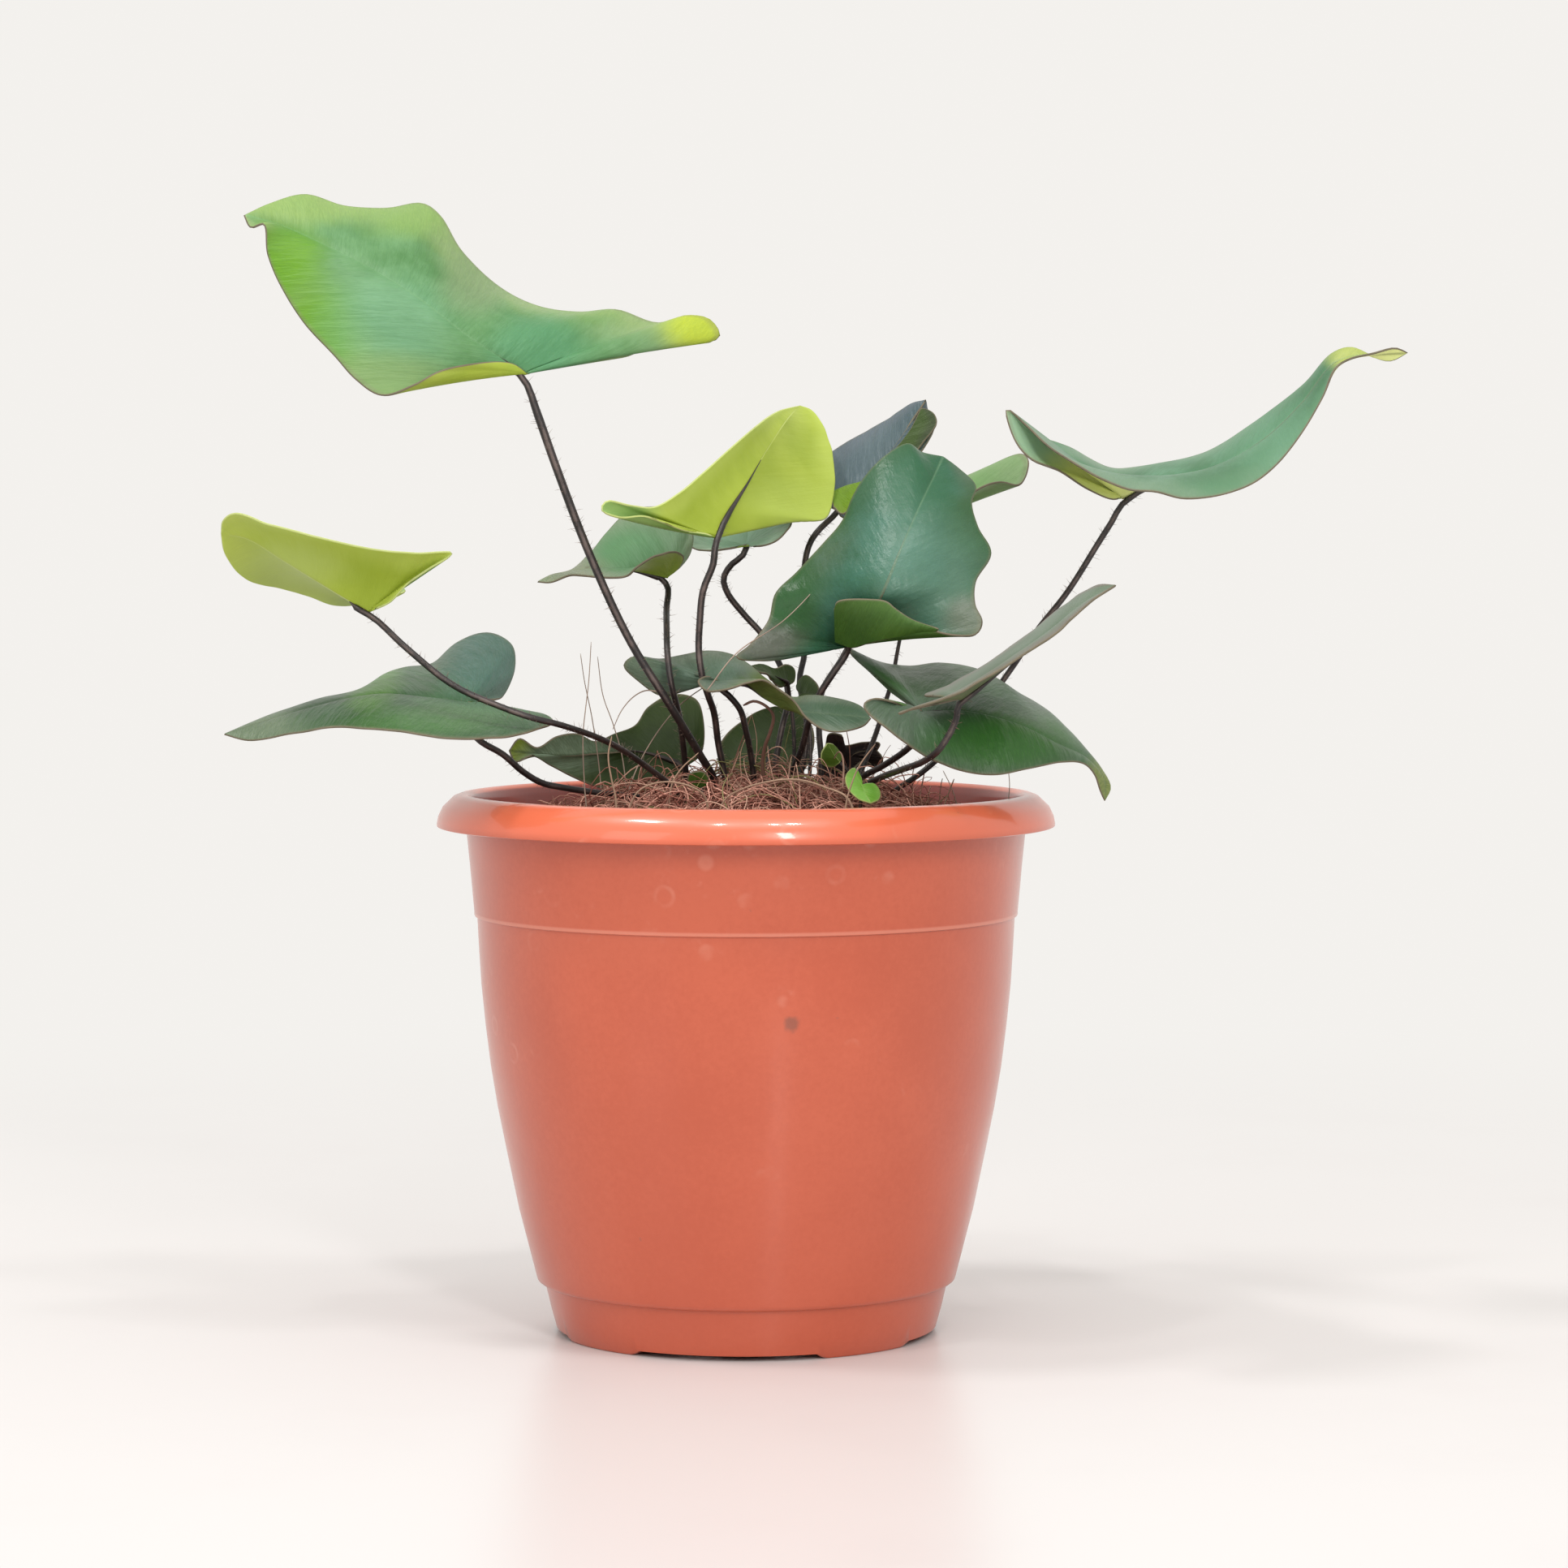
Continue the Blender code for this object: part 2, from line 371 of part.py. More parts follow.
def smooth_curve(points, count):
    """Points spaced evenly by length along a smooth curve through the given ones (Catmull-Rom)."""
    points = np.asarray(points, float)
    steps = np.linalg.norm(np.diff(points, axis=0), axis=1)
    knots = np.concatenate([[0.0], np.cumsum(np.sqrt(steps))])
    slopes = np.gradient(points, knots, axis=0)
    fine = np.linspace(0.0, knots[-1], 40 * len(points))
    left = np.clip(np.searchsorted(knots, fine, side="right") - 1, 0, len(points) - 2)
    width = knots[left + 1] - knots[left]
    u = ((fine - knots[left]) / width)[:, None]
    width = width[:, None]
    curve = (
        (2 * u**3 - 3 * u**2 + 1) * points[left]
        + (u**3 - 2 * u**2 + u) * width * slopes[left]
        + (3 * u**2 - 2 * u**3) * points[left + 1]
        + (u**3 - u**2) * width * slopes[left + 1]
    )
    along = np.concatenate([[0.0], np.cumsum(np.linalg.norm(np.diff(curve, axis=0), axis=1))])
    wanted = np.linspace(0.0, along[-1], count)
    return np.stack([np.interp(wanted, along, curve[:, axis]) for axis in range(3)], axis=1)


def through_points(points, count):
    """This many points along the smooth curve, with one of them at each given point."""
    fine = smooth_curve(points, 400)
    along = np.linspace(0.0, 1.0, 400)
    nearest = [int(np.argmin(np.linalg.norm(fine - point, axis=1))) for point in points]
    nearest[0], nearest[-1] = 0, 399
    for k in range(1, len(nearest) - 1):
        nearest[k] = max(nearest[k], nearest[k - 1] + 1)
    place = along[nearest]
    slot = np.round(place * (count - 1)).astype(int)
    for k in range(1, len(slot)):
        slot[k] = max(slot[k], slot[k - 1] + 1)
    slot[-1] = count - 1
    for k in range(len(slot) - 2, 0, -1):
        slot[k] = min(slot[k], slot[k + 1] - 1)
    wanted = np.interp(np.arange(count), slot, place)
    return np.stack([np.interp(wanted, along, fine[:, axis]) for axis in range(3)], axis=1)


def mesh_object(name, mesh, slot, collection):
    """An object of this mesh with one material."""
    obj = bpy.data.objects.new(name, mesh)
    if slot is not None:
        mesh.materials.append(slot)
    collection.objects.link(obj)
    return obj


def shade_round(mesh, sharp_deg=35.0):
    """Smooth shading that keeps edges sharper than this angle."""
    mesh.shade_smooth()
    mesh.set_sharp_from_angle(angle=math.radians(sharp_deg))


def tube_mesh(name, points, radii):
    """A closed round tube along the points, as a mesh with its caps welded."""
    curve = bpy.data.curves.new(name, "CURVE")
    curve.dimensions = "3D"
    curve.bevel_depth = 1.0
    curve.bevel_resolution = 1
    curve.use_fill_caps = True
    spline = curve.splines.new("POLY")
    spline.points.add(len(points) - 1)
    for point, place, radius in zip(spline.points, points, radii):
        point.co = (*(place * MM), 1.0)
        point.radius = radius * MM
    guide = bpy.data.objects.new(name, curve)
    bpy.context.scene.collection.objects.link(guide)
    graph = bpy.context.evaluated_depsgraph_get()
    mesh = bpy.data.meshes.new_from_object(guide.evaluated_get(graph))
    bpy.data.objects.remove(guide)
    bpy.data.curves.remove(curve)
    shape = bmesh.new()
    shape.from_mesh(mesh)
    bmesh.ops.remove_doubles(shape, verts=shape.verts, dist=1e-6)
    bmesh.ops.recalc_face_normals(shape, faces=shape.faces)
    shape.to_mesh(mesh)
    shape.free()
    mesh.name = name
    return mesh


def cut(obj, cutter, solver="EXACT"):
    """Take the cutter's shape out of the object."""
    modifier = obj.modifiers.new("cut_" + cutter.name, "BOOLEAN")
    modifier.operation = "DIFFERENCE"
    modifier.solver = solver
    modifier.object = cutter


def cutter_object(name, mesh, collection):
    """A helper that is only used to cut."""
    obj = mesh_object(name, mesh, None, collection)
    obj.hide_render = True
    obj.display_type = "WIRE"
    return obj


def pot_outside():
    """Half section of the pot's outer side, from the lip down to the foot: radius and height."""
    rim = RIM_ACROSS / 2
    base = BASE_ACROSS / 2
    return [
        (rim - 6.0, POT_HEIGHT),
        (rim - 3.4, POT_HEIGHT - 0.6),
        (rim - 1.2, POT_HEIGHT - 2.7),
        (rim, POT_HEIGHT - 6.4),
        (rim - 0.6, POT_HEIGHT - 6.8),
        (rim - 2.2, POT_HEIGHT - 3.6),
        (rim - 4.6, POT_HEIGHT - 2.6),
        (rim - 5.7, POT_HEIGHT - 4.5),
        (rim - 6.7, POT_HEIGHT - 14.0),
        (rim - 7.7, BAND_Z + 0.6),
        (rim - 7.7 - BAND_STEP, BAND_Z - 0.6),
        (rim - 9.0, BAND_Z - 14.0),
        (rim - 10.9, BAND_Z - 31.0),
        (rim - 14.0, BAND_Z - 48.0),
        (rim - 19.6, FOOT_Z + 3.6),
        (rim - 20.6, FOOT_Z + 1.2),
        (rim - 22.0, FOOT_Z - 0.4),
        (base, 0.0),
    ]


def pot_inside():
    """The rest of the half section: under the base, then up the inner side to the lip."""
    rim = RIM_ACROSS / 2
    base = BASE_ACROSS / 2
    return [
        (base - 2.4, 0.0),
        (base - 2.6, FOOT_HEIGHT),
        (0.0, FOOT_HEIGHT),
        (0.0, FLOOR_TOP_Z),
        (base - WALL - 0.6, FLOOR_TOP_Z),
        (rim - 22.0 - WALL, FOOT_Z),
        (rim - 20.7 - WALL, FOOT_Z + 2.6),
        (rim - 14.0 - WALL, BAND_Z - 48.0),
        (rim - 10.9 - WALL, BAND_Z - 31.0),
        (rim - 8.3 - WALL, BAND_Z - 2.0),
        (rim - 6.9 - WALL, POT_HEIGHT - 12.0),
        (rim - 6.2 - WALL, POT_HEIGHT - 2.4),
        (rim - 6.9, POT_HEIGHT - 0.5),
    ]


def inner_radius(z):
    """Radius of the pot's inside at a height."""
    rows = [(r, h) for r, h in pot_inside() if h >= FLOOR_TOP_Z and r > 0.0]
    return float(np.interp(z, [h for _, h in rows], [r for r, _ in rows]))


def add_pot(parts, cutters, slot):
    """The turned shell, with round drainage holes and a foot ring notched into separate feet."""
    profile = [(r * MM, 0.0, z * MM) for r, z in pot_outside() + pot_inside()]
    mesh = bpy.data.meshes.new("pot")
    edges = [(i, (i + 1) % len(profile)) for i in range(len(profile))]
    mesh.from_pydata(profile, edges, [])
    pot = mesh_object("pot", mesh, slot, parts)
    turn = pot.modifiers.new("turn", "SCREW")
    turn.steps = TURN_STEPS
    turn.render_steps = TURN_STEPS
    turn.use_merge_vertices = True
    turn.merge_threshold = 0.00001
    for number in range(DRAIN_HOLES):
        angle = math.tau * (number + 0.5) / DRAIN_HOLES
        shape = bmesh.new()
        place = Matrix.Translation((
            DRAIN_RING * MM * math.cos(angle),
            DRAIN_RING * MM * math.sin(angle),
            FLOOR_TOP_Z / 2 * MM,
        ))
        bmesh.ops.create_cone(
            shape, cap_ends=True, segments=16, radius1=DRAIN_RADIUS * MM, radius2=DRAIN_RADIUS * MM,
            depth=8 * MM, matrix=place,
        )
        hole = bpy.data.meshes.new("drain_cutter")
        shape.to_mesh(hole)
        shape.free()
        cut(pot, cutter_object(f"drain_cutter_{number}", hole, cutters))
    beyond_foot = BASE_ACROSS / 2 + 3.0
    within_foot = BASE_ACROSS / 2 - 7.0
    notch_deg = 360.0 / FEET - FOOT_ARC_DEG
    for number in range(FEET):
        middle = FIRST_FOOT_DEG + 360.0 / FEET * (number + 0.5)
        turns = np.radians(np.linspace(middle - notch_deg / 2, middle + notch_deg / 2, 5))
        # Degrees are counted from the front, towards +X
        arc = np.stack([np.sin(turns), -np.cos(turns)], axis=1)
        ring = np.concatenate([arc * beyond_foot, arc[::-1] * within_foot]) * MM
        shape = bmesh.new()
        low = [shape.verts.new((x, y, -FOOT_HEIGHT * MM)) for x, y in ring]
        face = shape.faces.new(low)
        grown = bmesh.ops.extrude_face_region(shape, geom=[face])["geom"]
        lift = [v for v in grown if isinstance(v, bmesh.types.BMVert)]
        bmesh.ops.translate(shape, verts=lift, vec=(0, 0, (2 * FOOT_HEIGHT - NOTCH_FLOOR) * MM))
        bmesh.ops.recalc_face_normals(shape, faces=shape.faces)
        notch = bpy.data.meshes.new("notch_cutter")
        shape.to_mesh(notch)
        shape.free()
        cut(pot, cutter_object(f"notch_cutter_{number}", notch, cutters))
    return pot


def soil_height(x, y):
    """Height of the soil: a mound round the rootstock, with low uneven ripples."""
    from_middle = np.hypot(x - ROOTSTOCK_CENTRE[0] * 0.5, y)
    mound = SOIL_MOUND * np.exp(-((from_middle / SOIL_MOUND_RADIUS) ** 2))
    ripple = 0.7 * np.sin(0.31 * x + 1.0) * np.cos(0.27 * y) + 0.5 * np.sin(0.19 * (x - 1.7 * y))
    return SOIL_EDGE_Z + mound + ripple


def add_soil(parts, slot):
    """The potting mix: a plug that follows the pot's inside, with an uneven top."""
    around, rings, sides = 36, 8, 5
    turns = np.linspace(0, math.tau, around, endpoint=False)
    bottom_z = FLOOR_TOP_Z + GAP
    top_radius = inner_radius(SOIL_EDGE_Z) - 0.5
    rows = []
    for k in range(1, rings + 1):
        r = top_radius * k / rings
        x, y = r * np.cos(turns), r * np.sin(turns)
        rows.append(np.stack([x, y, soil_height(x, y)], axis=1))
    for k in range(1, sides + 1):
        z = SOIL_EDGE_Z - 2.0 + (bottom_z - SOIL_EDGE_Z + 2.0) * k / sides
        r = inner_radius(z) - 0.6
        rows.append(np.stack([r * np.cos(turns), r * np.sin(turns), np.full(around, z)], axis=1))
    centre_top = np.array([[0.0, 0.0, float(soil_height(0.0, 0.0))]])
    centre_low = np.array([[0.0, 0.0, bottom_z]])
    points = np.concatenate([centre_top, *rows, centre_low]) * MM
    faces = [(0, 1 + i, 1 + (i + 1) % around) for i in range(around)]
    for k in range(len(rows) - 1):
        near, far = 1 + k * around, 1 + (k + 1) * around
        for i in range(around):
            j = (i + 1) % around
            faces.append((near + i, far + i, far + j, near + j))
    last = 1 + (len(rows) - 1) * around
    faces += [(last + (i + 1) % around, last + i, len(points) - 1) for i in range(around)]
    mesh = bpy.data.meshes.new("soil")
    mesh.from_pydata(points.tolist(), [], faces)
    shape = bmesh.new()
    shape.from_mesh(mesh)
    bmesh.ops.recalc_face_normals(shape, faces=shape.faces)
    bmesh.ops.triangulate(shape, faces=shape.faces)
    shape.to_mesh(mesh)
    shape.free()
    return mesh_object("soil", mesh, slot, parts)


def rootstock_mesh(name, grow):
    """A lumpy creeping rootstock: a ball stretched to size, with low swellings."""
    shape = bmesh.new()
    bmesh.ops.create_icosphere(shape, subdivisions=2, radius=1.0)
    for vert in shape.verts:
        x, y, z = vert.co
        lump = 1.0 + 0.05 * math.sin(7 * x + 2 * y) + 0.04 * math.cos(6 * y - 3 * z)
        vert.co = [
            (centre + value * (half * lump + grow)) * MM
            for value, half, centre in zip((x, y, z), ROOTSTOCK_HALF, ROOTSTOCK_CENTRE)
        ]
    mesh = bpy.data.meshes.new(name)
    shape.to_mesh(mesh)
    shape.free()
    return mesh


def half_blade(midrib, margin, steps):
    """Half of a blade as a grid: along the margin from notch to tip, and out from the midrib.

    The lobe's rows fan out from the stipe's end; past the lobe their inner ends move up the midrib.
    """
    outline = through_points([midrib[0], *margin, midrib[-1]], steps + 1)
    t = np.linspace(0.0, 1.0, steps + 1)
    share = np.clip((t - LOBE_SHARE) / (1.0 - LOBE_SHARE), 0.0, 1.0)
    fine = smooth_curve(midrib, 201)
    inner = np.stack([np.interp(share * 200, np.arange(201), fine[:, a]) for a in range(3)], axis=1)
    out = np.linspace(0.0, 1.0, ACROSS_BLADE + 1)[None, :, None]
    return inner[:, None, :] * (1 - out) + outline[:, None, :] * out


def bulged(grid, ahead, bulge, turn):
    """The grid raised to the upper side by an even arch between midrib and margin."""
    reach = grid[:, -1] - grid[:, 0]
    normal = turn * np.cross(ahead, reach)
    length = np.linalg.norm(normal, axis=1, keepdims=True)
    normal = normal / np.maximum(length, 1e-9)
    out = np.linspace(0.0, 1.0, ACROSS_BLADE + 1)[None, :, None]
    size = np.minimum(np.linalg.norm(reach, axis=1) / FULL_BULGE_WIDTH, 1.0)[:, None, None]
    return grid + 4 * out * (1 - out) * bulge * size * normal[:, None, :]


def blade_mesh(name, frond):
    """The blade's middle surface, its two halves joined along the midrib."""
    midrib, left, right = (seen(frond[key]) for key in ("midrib", "left", "right"))
    ahead = midrib[-1] - midrib[0]
    steps = max(len(left), len(right)) + 3
    halves = [
        bulged(half_blade(midrib, left, steps), ahead, frond["bulge"], 1),
        bulged(half_blade(midrib, right, steps), ahead, frond["bulge"], -1),
    ]
    columns = ACROSS_BLADE + 1
    points, faces = [], []
    for number, grid in enumerate(halves):
        first = len(points)
        points += (grid.reshape(-1, 3) * MM).tolist()
        for i in range(steps):
            for j in range(ACROSS_BLADE):
                a = first + i * columns + j
                b, c, d = a + columns, a + columns + 1, a + 1
                pair = [(a, c, b), (a, d, c)] if number == 0 else [(a, b, c), (a, c, d)]
                faces += pair
    mesh = bpy.data.meshes.new(name)
    mesh.from_pydata(points, [], faces)
    shape = bmesh.new()
    shape.from_mesh(mesh)
    bmesh.ops.remove_doubles(shape, verts=shape.verts, dist=0.02 * MM)
    shape.to_mesh(mesh)
    shape.free()
    return mesh


def add_blade(name, mesh, parts, slot):
    """The flat blade given its thickness evenly about the middle surface."""
    blade = mesh_object("blade_" + name, mesh, slot, parts)
    thick = blade.modifiers.new("thickness", "SOLIDIFY")
    thick.thickness = BLADE_THICKNESS * MM
    thick.offset = 0.0


def end_under_blade(start, goal, blade):
    """The place nearest the goal, on the way to it from the start, where a stalk's tip clears the blade."""
    surface = BVHTree.FromPolygons(
        [vert.co / MM for vert in blade.vertices], [tuple(face.vertices) for face in blade.polygons]
    )
    room = BLADE_THICKNESS / 2 + STALK_TIP + GAP
    for share in np.linspace(1.0, -0.5, 151):
        place = start + (goal - start) * share
        if surface.find_nearest(place)[3] >= room:
            return place
    return start


def add_stalk(name, points, radius, slot, parts, cutters, ground):
    """A tapered stalk with a narrow tip, and a plain hole for it in what it stands in."""
    places = smooth_curve(points, 4 + len(points))
    radii = radius * np.linspace(TOP_TAPER, FOOT_TAPER, len(places))
    down = (places[1] - places[0]) / np.linalg.norm(places[1] - places[0])
    places = np.insert(places, 1, places[0] + down * SHOULDER, axis=0)
    radii = np.insert(radii, 0, STALK_TIP)
    mesh_object(name, tube_mesh(name, places, radii), slot, parts)
    hole = cutter_object("hole_" + name, tube_mesh("hole_" + name, places, radii + STALK_GAP), cutters)
    for piece in ground:
        cut(piece, hole, "MANIFOLD")


def main():
    clear_scene()
    parts = new_collection("potted heart fern")
    cutters = new_collection("cutters")
    slots = {
        "terracotta": material("terracotta plastic", (0.62, 0.16, 0.09), 0.38),
        "soil": material("potting mix", (0.09, 0.045, 0.03), 0.95),
        "rootstock": material("scaly rootstock", (0.06, 0.035, 0.025), 0.9),
        "stipe": material("dark stipe", (0.03, 0.018, 0.015), 0.45),
        "mature": material("mature blade", (0.11, 0.27, 0.10), 0.5),
        "dark": material("dark blade", (0.05, 0.17, 0.07), 0.5),
        "grey": material("grey-green blade", (0.13, 0.2, 0.12), 0.5),
        "bluish": material("blue-green blade", (0.12, 0.19, 0.17), 0.5),
        "olive": material("olive blade", (0.06, 0.12, 0.02), 0.5),
        "young": material("young blade", (0.37, 0.5, 0.06), 0.5),
        "withered": material("withered blade", (0.03, 0.018, 0.015), 0.85),
        "petiole": material("brown petiole", (0.12, 0.06, 0.04), 0.7),
        "straw": material("dry straw", (0.32, 0.2, 0.13), 0.85),
    }
    add_pot(parts, cutters, slots["terracotta"])
    soil = add_soil(parts, slots["soil"])
    rootstock = mesh_object("rootstock", rootstock_mesh("rootstock", 0.0), slots["rootstock"], parts)
    cut(soil, cutter_object("rootstock_cutter", rootstock_mesh("rootstock_cutter", GAP), cutters), "MANIFOLD")
    for name, frond in FRONDS.items():
        mesh = blade_mesh("blade_" + name, frond)
        add_blade(name, mesh, parts, slots[frond["colour"]])
        points = seen(frond["stipe"])
        points[0] = end_under_blade(points[0], seen(frond["midrib"])[0], mesh)
        radius = frond.get("radius", STIPE_RADIUS)
        add_stalk("stipe_" + name, points, radius, slots["stipe"], parts, cutters, (soil, rootstock))
    for name, (colour, radius, points) in STALKS.items():
        add_stalk(name, seen(points), radius, slots[colour], parts, cutters, (soil, rootstock))
    for obj in parts.objects:
        shade_round(obj.data)


main()
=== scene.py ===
"""A heart fern in a terracotta-coloured plastic nursery pot, dressed over its CAD frame.

The origin is on the pot's axis in the plane that its feet stand on, +Z is up and -Y is the front.
Shapes are worked out in millimetres, and MM turns them into metres when a mesh is made.
"""

import math

import bmesh
import bpy
import numpy as np
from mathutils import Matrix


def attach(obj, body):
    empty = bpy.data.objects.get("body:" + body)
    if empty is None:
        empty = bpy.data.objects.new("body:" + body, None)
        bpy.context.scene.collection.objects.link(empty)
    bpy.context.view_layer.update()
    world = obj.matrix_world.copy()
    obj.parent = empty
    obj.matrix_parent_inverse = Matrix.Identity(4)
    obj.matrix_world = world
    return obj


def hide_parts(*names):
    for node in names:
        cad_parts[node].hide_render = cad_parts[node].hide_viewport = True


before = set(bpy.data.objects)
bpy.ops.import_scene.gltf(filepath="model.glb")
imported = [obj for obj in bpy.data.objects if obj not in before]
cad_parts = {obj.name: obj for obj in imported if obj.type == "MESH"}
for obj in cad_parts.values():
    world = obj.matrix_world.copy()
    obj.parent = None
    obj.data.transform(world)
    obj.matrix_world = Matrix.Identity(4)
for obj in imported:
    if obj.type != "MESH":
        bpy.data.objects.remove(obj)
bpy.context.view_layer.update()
MM = 0.001

# Studio: a pale floor that fades into a pale surround, broad soft lights, and a camera a pace in front
# of the pot at the height of its middle leaves.
CAMERA_PLACE = (0.0, -0.950, 0.1647)
CAMERA_DOWN_DEG = 3.13
CAMERA_RIGHT_DEG = 0.47
CAMERA_LENS = 106.2
SURROUND = (0.90, 0.88, 0.85)
FLOOR_COLOUR = (0.64, 0.625, 0.62)
PLANT_MIDDLE = (0.0, 0.0, 0.12)
PANE_RISE_DEG = 66.0
PANE_DISTANCE = 1.6
HIGH_PANES = [(-72, 7.0, 0.26), (-17, 2.4, 0.05), (18, 1.4, 0.05), (31, 2.4, 0.08)]
FLOOR_CLOUD = (0.62, 0.60, 0.595)
FLOOR_RADIUS = 6.0
FLOOR_SIDES = 96
FLOOR_CLEAR = 0.15
FLOOR_FADED = 0.60

camera = bpy.data.objects.new("camera", bpy.data.cameras.new("camera"))
camera.location = CAMERA_PLACE
camera.rotation_euler = (math.radians(90 - CAMERA_DOWN_DEG), 0, math.radians(-CAMERA_RIGHT_DEG))
camera.data.lens = CAMERA_LENS
camera.data.sensor_width = 36
camera.data.clip_start = 0.01
bpy.context.scene.collection.objects.link(camera)
bpy.context.scene.camera = camera
bpy.context.scene.view_settings.view_transform = "Standard"


def node(tree, kind, inputs=None, **settings):
    """A shader node with its settings, each input set to a value or fed from another node's output."""
    made = tree.nodes.new("ShaderNode" + kind)
    for key, value in settings.items():
        setattr(made, key, value)
    for key, value in (inputs or {}).items():
        if isinstance(value, bpy.types.NodeSocket):
            tree.links.new(value, made.inputs[key])
        else:
            made.inputs[key].default_value = value
    return made


def mix(tree, share, first, second):
    """Colour between two others: all first at share 0, all second at share 1."""
    first, second = (c if isinstance(c, bpy.types.NodeSocket) else (*c, 1.0) for c in (first, second))
    return node(tree, "Mix", {0: share, 6: first, 7: second}, data_type="RGBA").outputs[2]


def fade(tree, value, low, high, to=(0.0, 1.0)):
    """A number that eases from to[0] to to[1] as the value goes from low to high."""
    ends = {"Value": value, "From Min": low, "From Max": high, "To Min": to[0], "To Max": to[1]}
    return node(tree, "MapRange", ends, interpolation_type="SMOOTHSTEP").outputs["Result"]


def sums(tree, operation, first, second=0.0):
    """One step of arithmetic on two numbers."""
    return node(tree, "Math", {0: first, 1: second}, operation=operation).outputs[0]


def times(tree, first, second):
    """The product of two numbers."""
    return sums(tree, "MULTIPLY", first, second)


def plus(tree, first, second):
    """The sum of two numbers."""
    return sums(tree, "ADD", first, second)


def length_of(tree, where):
    """How far a place is from the origin of its coordinates."""
    return node(tree, "VectorMath", {0: where}, operation="LENGTH").outputs["Value"]


def noise(tree, where, scale, detail=3.0, roughness=0.5):
    """Soft noise from 0 to 1, with this many lumps to a unit of the coordinates."""
    settings = {"Vector": where, "Scale": scale, "Detail": detail, "Roughness": roughness}
    return node(tree, "TexNoise", settings).outputs["Fac"]


def new_surface(name, roughness, **sockets):
    """A Principled material: its tree, its shader and its Object coordinates."""
    made = bpy.data.materials.new(name)
    made.use_nodes = True
    tree = made.node_tree
    shader = tree.nodes["Principled BSDF"]
    shader.inputs["Roughness"].default_value = roughness
    for key, value in sockets.items():
        shader.inputs[key.replace("_", " ")].default_value = value
    return made, tree, shader, node(tree, "TexCoord").outputs["Object"]


def paint(tree, shader, colour):
    """Feed a colour to the shader's base colour."""
    tree.links.new(colour, shader.inputs["Base Color"])


def bumps(tree, shader, *layers):
    """Bump the surface by layers of a height, a strength and a distance, the first one at the bottom."""
    below = {}
    for height, strength, reach in layers:
        settings = {"Height": height, "Strength": strength, "Distance": reach, **below}
        below = {"Normal": node(tree, "Bump", settings).outputs[0]}
    tree.links.new(below["Normal"], shader.inputs["Normal"])


def colour_of(red, green, blue):
    """Linear colour of a shade given as it is read off a screen, from 0 to 255."""
    return tuple(((c / 255 + 0.055) / 1.055) ** 2.4 if c > 10 else c / 3294.6 for c in (red, green, blue))


def mesh_piece(name, points, faces, surfaces, indices=None):
    """An object at the origin of points in millimetres, shaded smooth, with its materials."""
    mesh = bpy.data.meshes.new(name)
    mesh.from_pydata((np.asarray(points) * MM).tolist(), [], [list(f) for f in faces])
    for surface in surfaces:
        mesh.materials.append(surface)
    if indices is not None:
        mesh.polygons.foreach_set("material_index", np.asarray(indices, np.int32))
    mesh.shade_smooth()
    piece = bpy.data.objects.new(name, mesh)
    bpy.context.scene.collection.objects.link(piece)
    return piece


def soft_light(name, place, across, watts, tint):
    """A rectangular area light that faces the middle of the plant."""
    lamp = bpy.data.lights.new(name, "AREA")
    lamp.shape = "RECTANGLE"
    lamp.size, lamp.size_y = across
    lamp.energy = watts
    lamp.color = tint
    holder = bpy.data.objects.new(name, lamp)
    holder.location = place
    way = np.array(PLANT_MIDDLE) - np.array(place)
    flat = math.hypot(way[0], way[1])
    holder.rotation_euler = (math.atan2(flat, -way[2]), 0, math.atan2(-way[0], way[1]))
    bpy.context.scene.collection.objects.link(holder)


world = bpy.data.worlds.new("surround")
world.use_nodes = True
world.node_tree.nodes["Background"].inputs["Color"].default_value = (*SURROUND, 1)
world.node_tree.nodes["Background"].inputs["Strength"].default_value = 1.0
bpy.context.scene.world = world
soft_light("overhead light", (0.1, -0.5, 1.5), (0.9, 0.9), 2.0, (1.0, 0.98, 0.95))
soft_light("left front window", (-1.1, -1.2, 0.75), (0.7, 0.9), 3.4, (1.0, 0.99, 0.97))
soft_light("front window", (0.38, -1.40, 0.85), (0.13, 0.60), 8.0, (1.0, 0.98, 0.96))
pane_out = PANE_DISTANCE * math.cos(math.radians(PANE_RISE_DEG))
pane_up = PANE_DISTANCE * math.sin(math.radians(PANE_RISE_DEG)) + 0.1
for number, (azimuth, watts, width) in enumerate(HIGH_PANES):
    place = (pane_out * math.sin(math.radians(azimuth)), -pane_out * math.cos(math.radians(azimuth)), pane_up)
    soft_light(f"high pane {number}", place, (width, 0.12), watts, (1.0, 0.98, 0.97))

floor_surface, tree, shader, here = new_surface("pale floor", 0.3, Specular_IOR_Level=0.32)
cloud = fade(tree, noise(tree, here, 9.0, 6.0, 0.6), 0.45, 0.8)
paint(tree, shader, mix(tree, cloud, FLOOR_COLOUR, FLOOR_CLOUD))
glow = node(tree, "Emission", {"Color": (*SURROUND, 1)}).outputs[0]
faded = fade(tree, length_of(tree, here), FLOOR_CLEAR, FLOOR_FADED)
blend = node(tree, "MixShader", {0: faded, 1: shader.outputs[0], 2: glow})
tree.links.new(blend.outputs[0], tree.nodes["Material Output"].inputs["Surface"])
turns = np.linspace(0, math.tau, FLOOR_SIDES, endpoint=False)
ring = np.stack([np.cos(turns), np.sin(turns), np.zeros(FLOOR_SIDES)], axis=1) * FLOOR_RADIUS / MM
floor = mesh_piece("floor", ring, [range(FLOOR_SIDES)], [floor_surface])

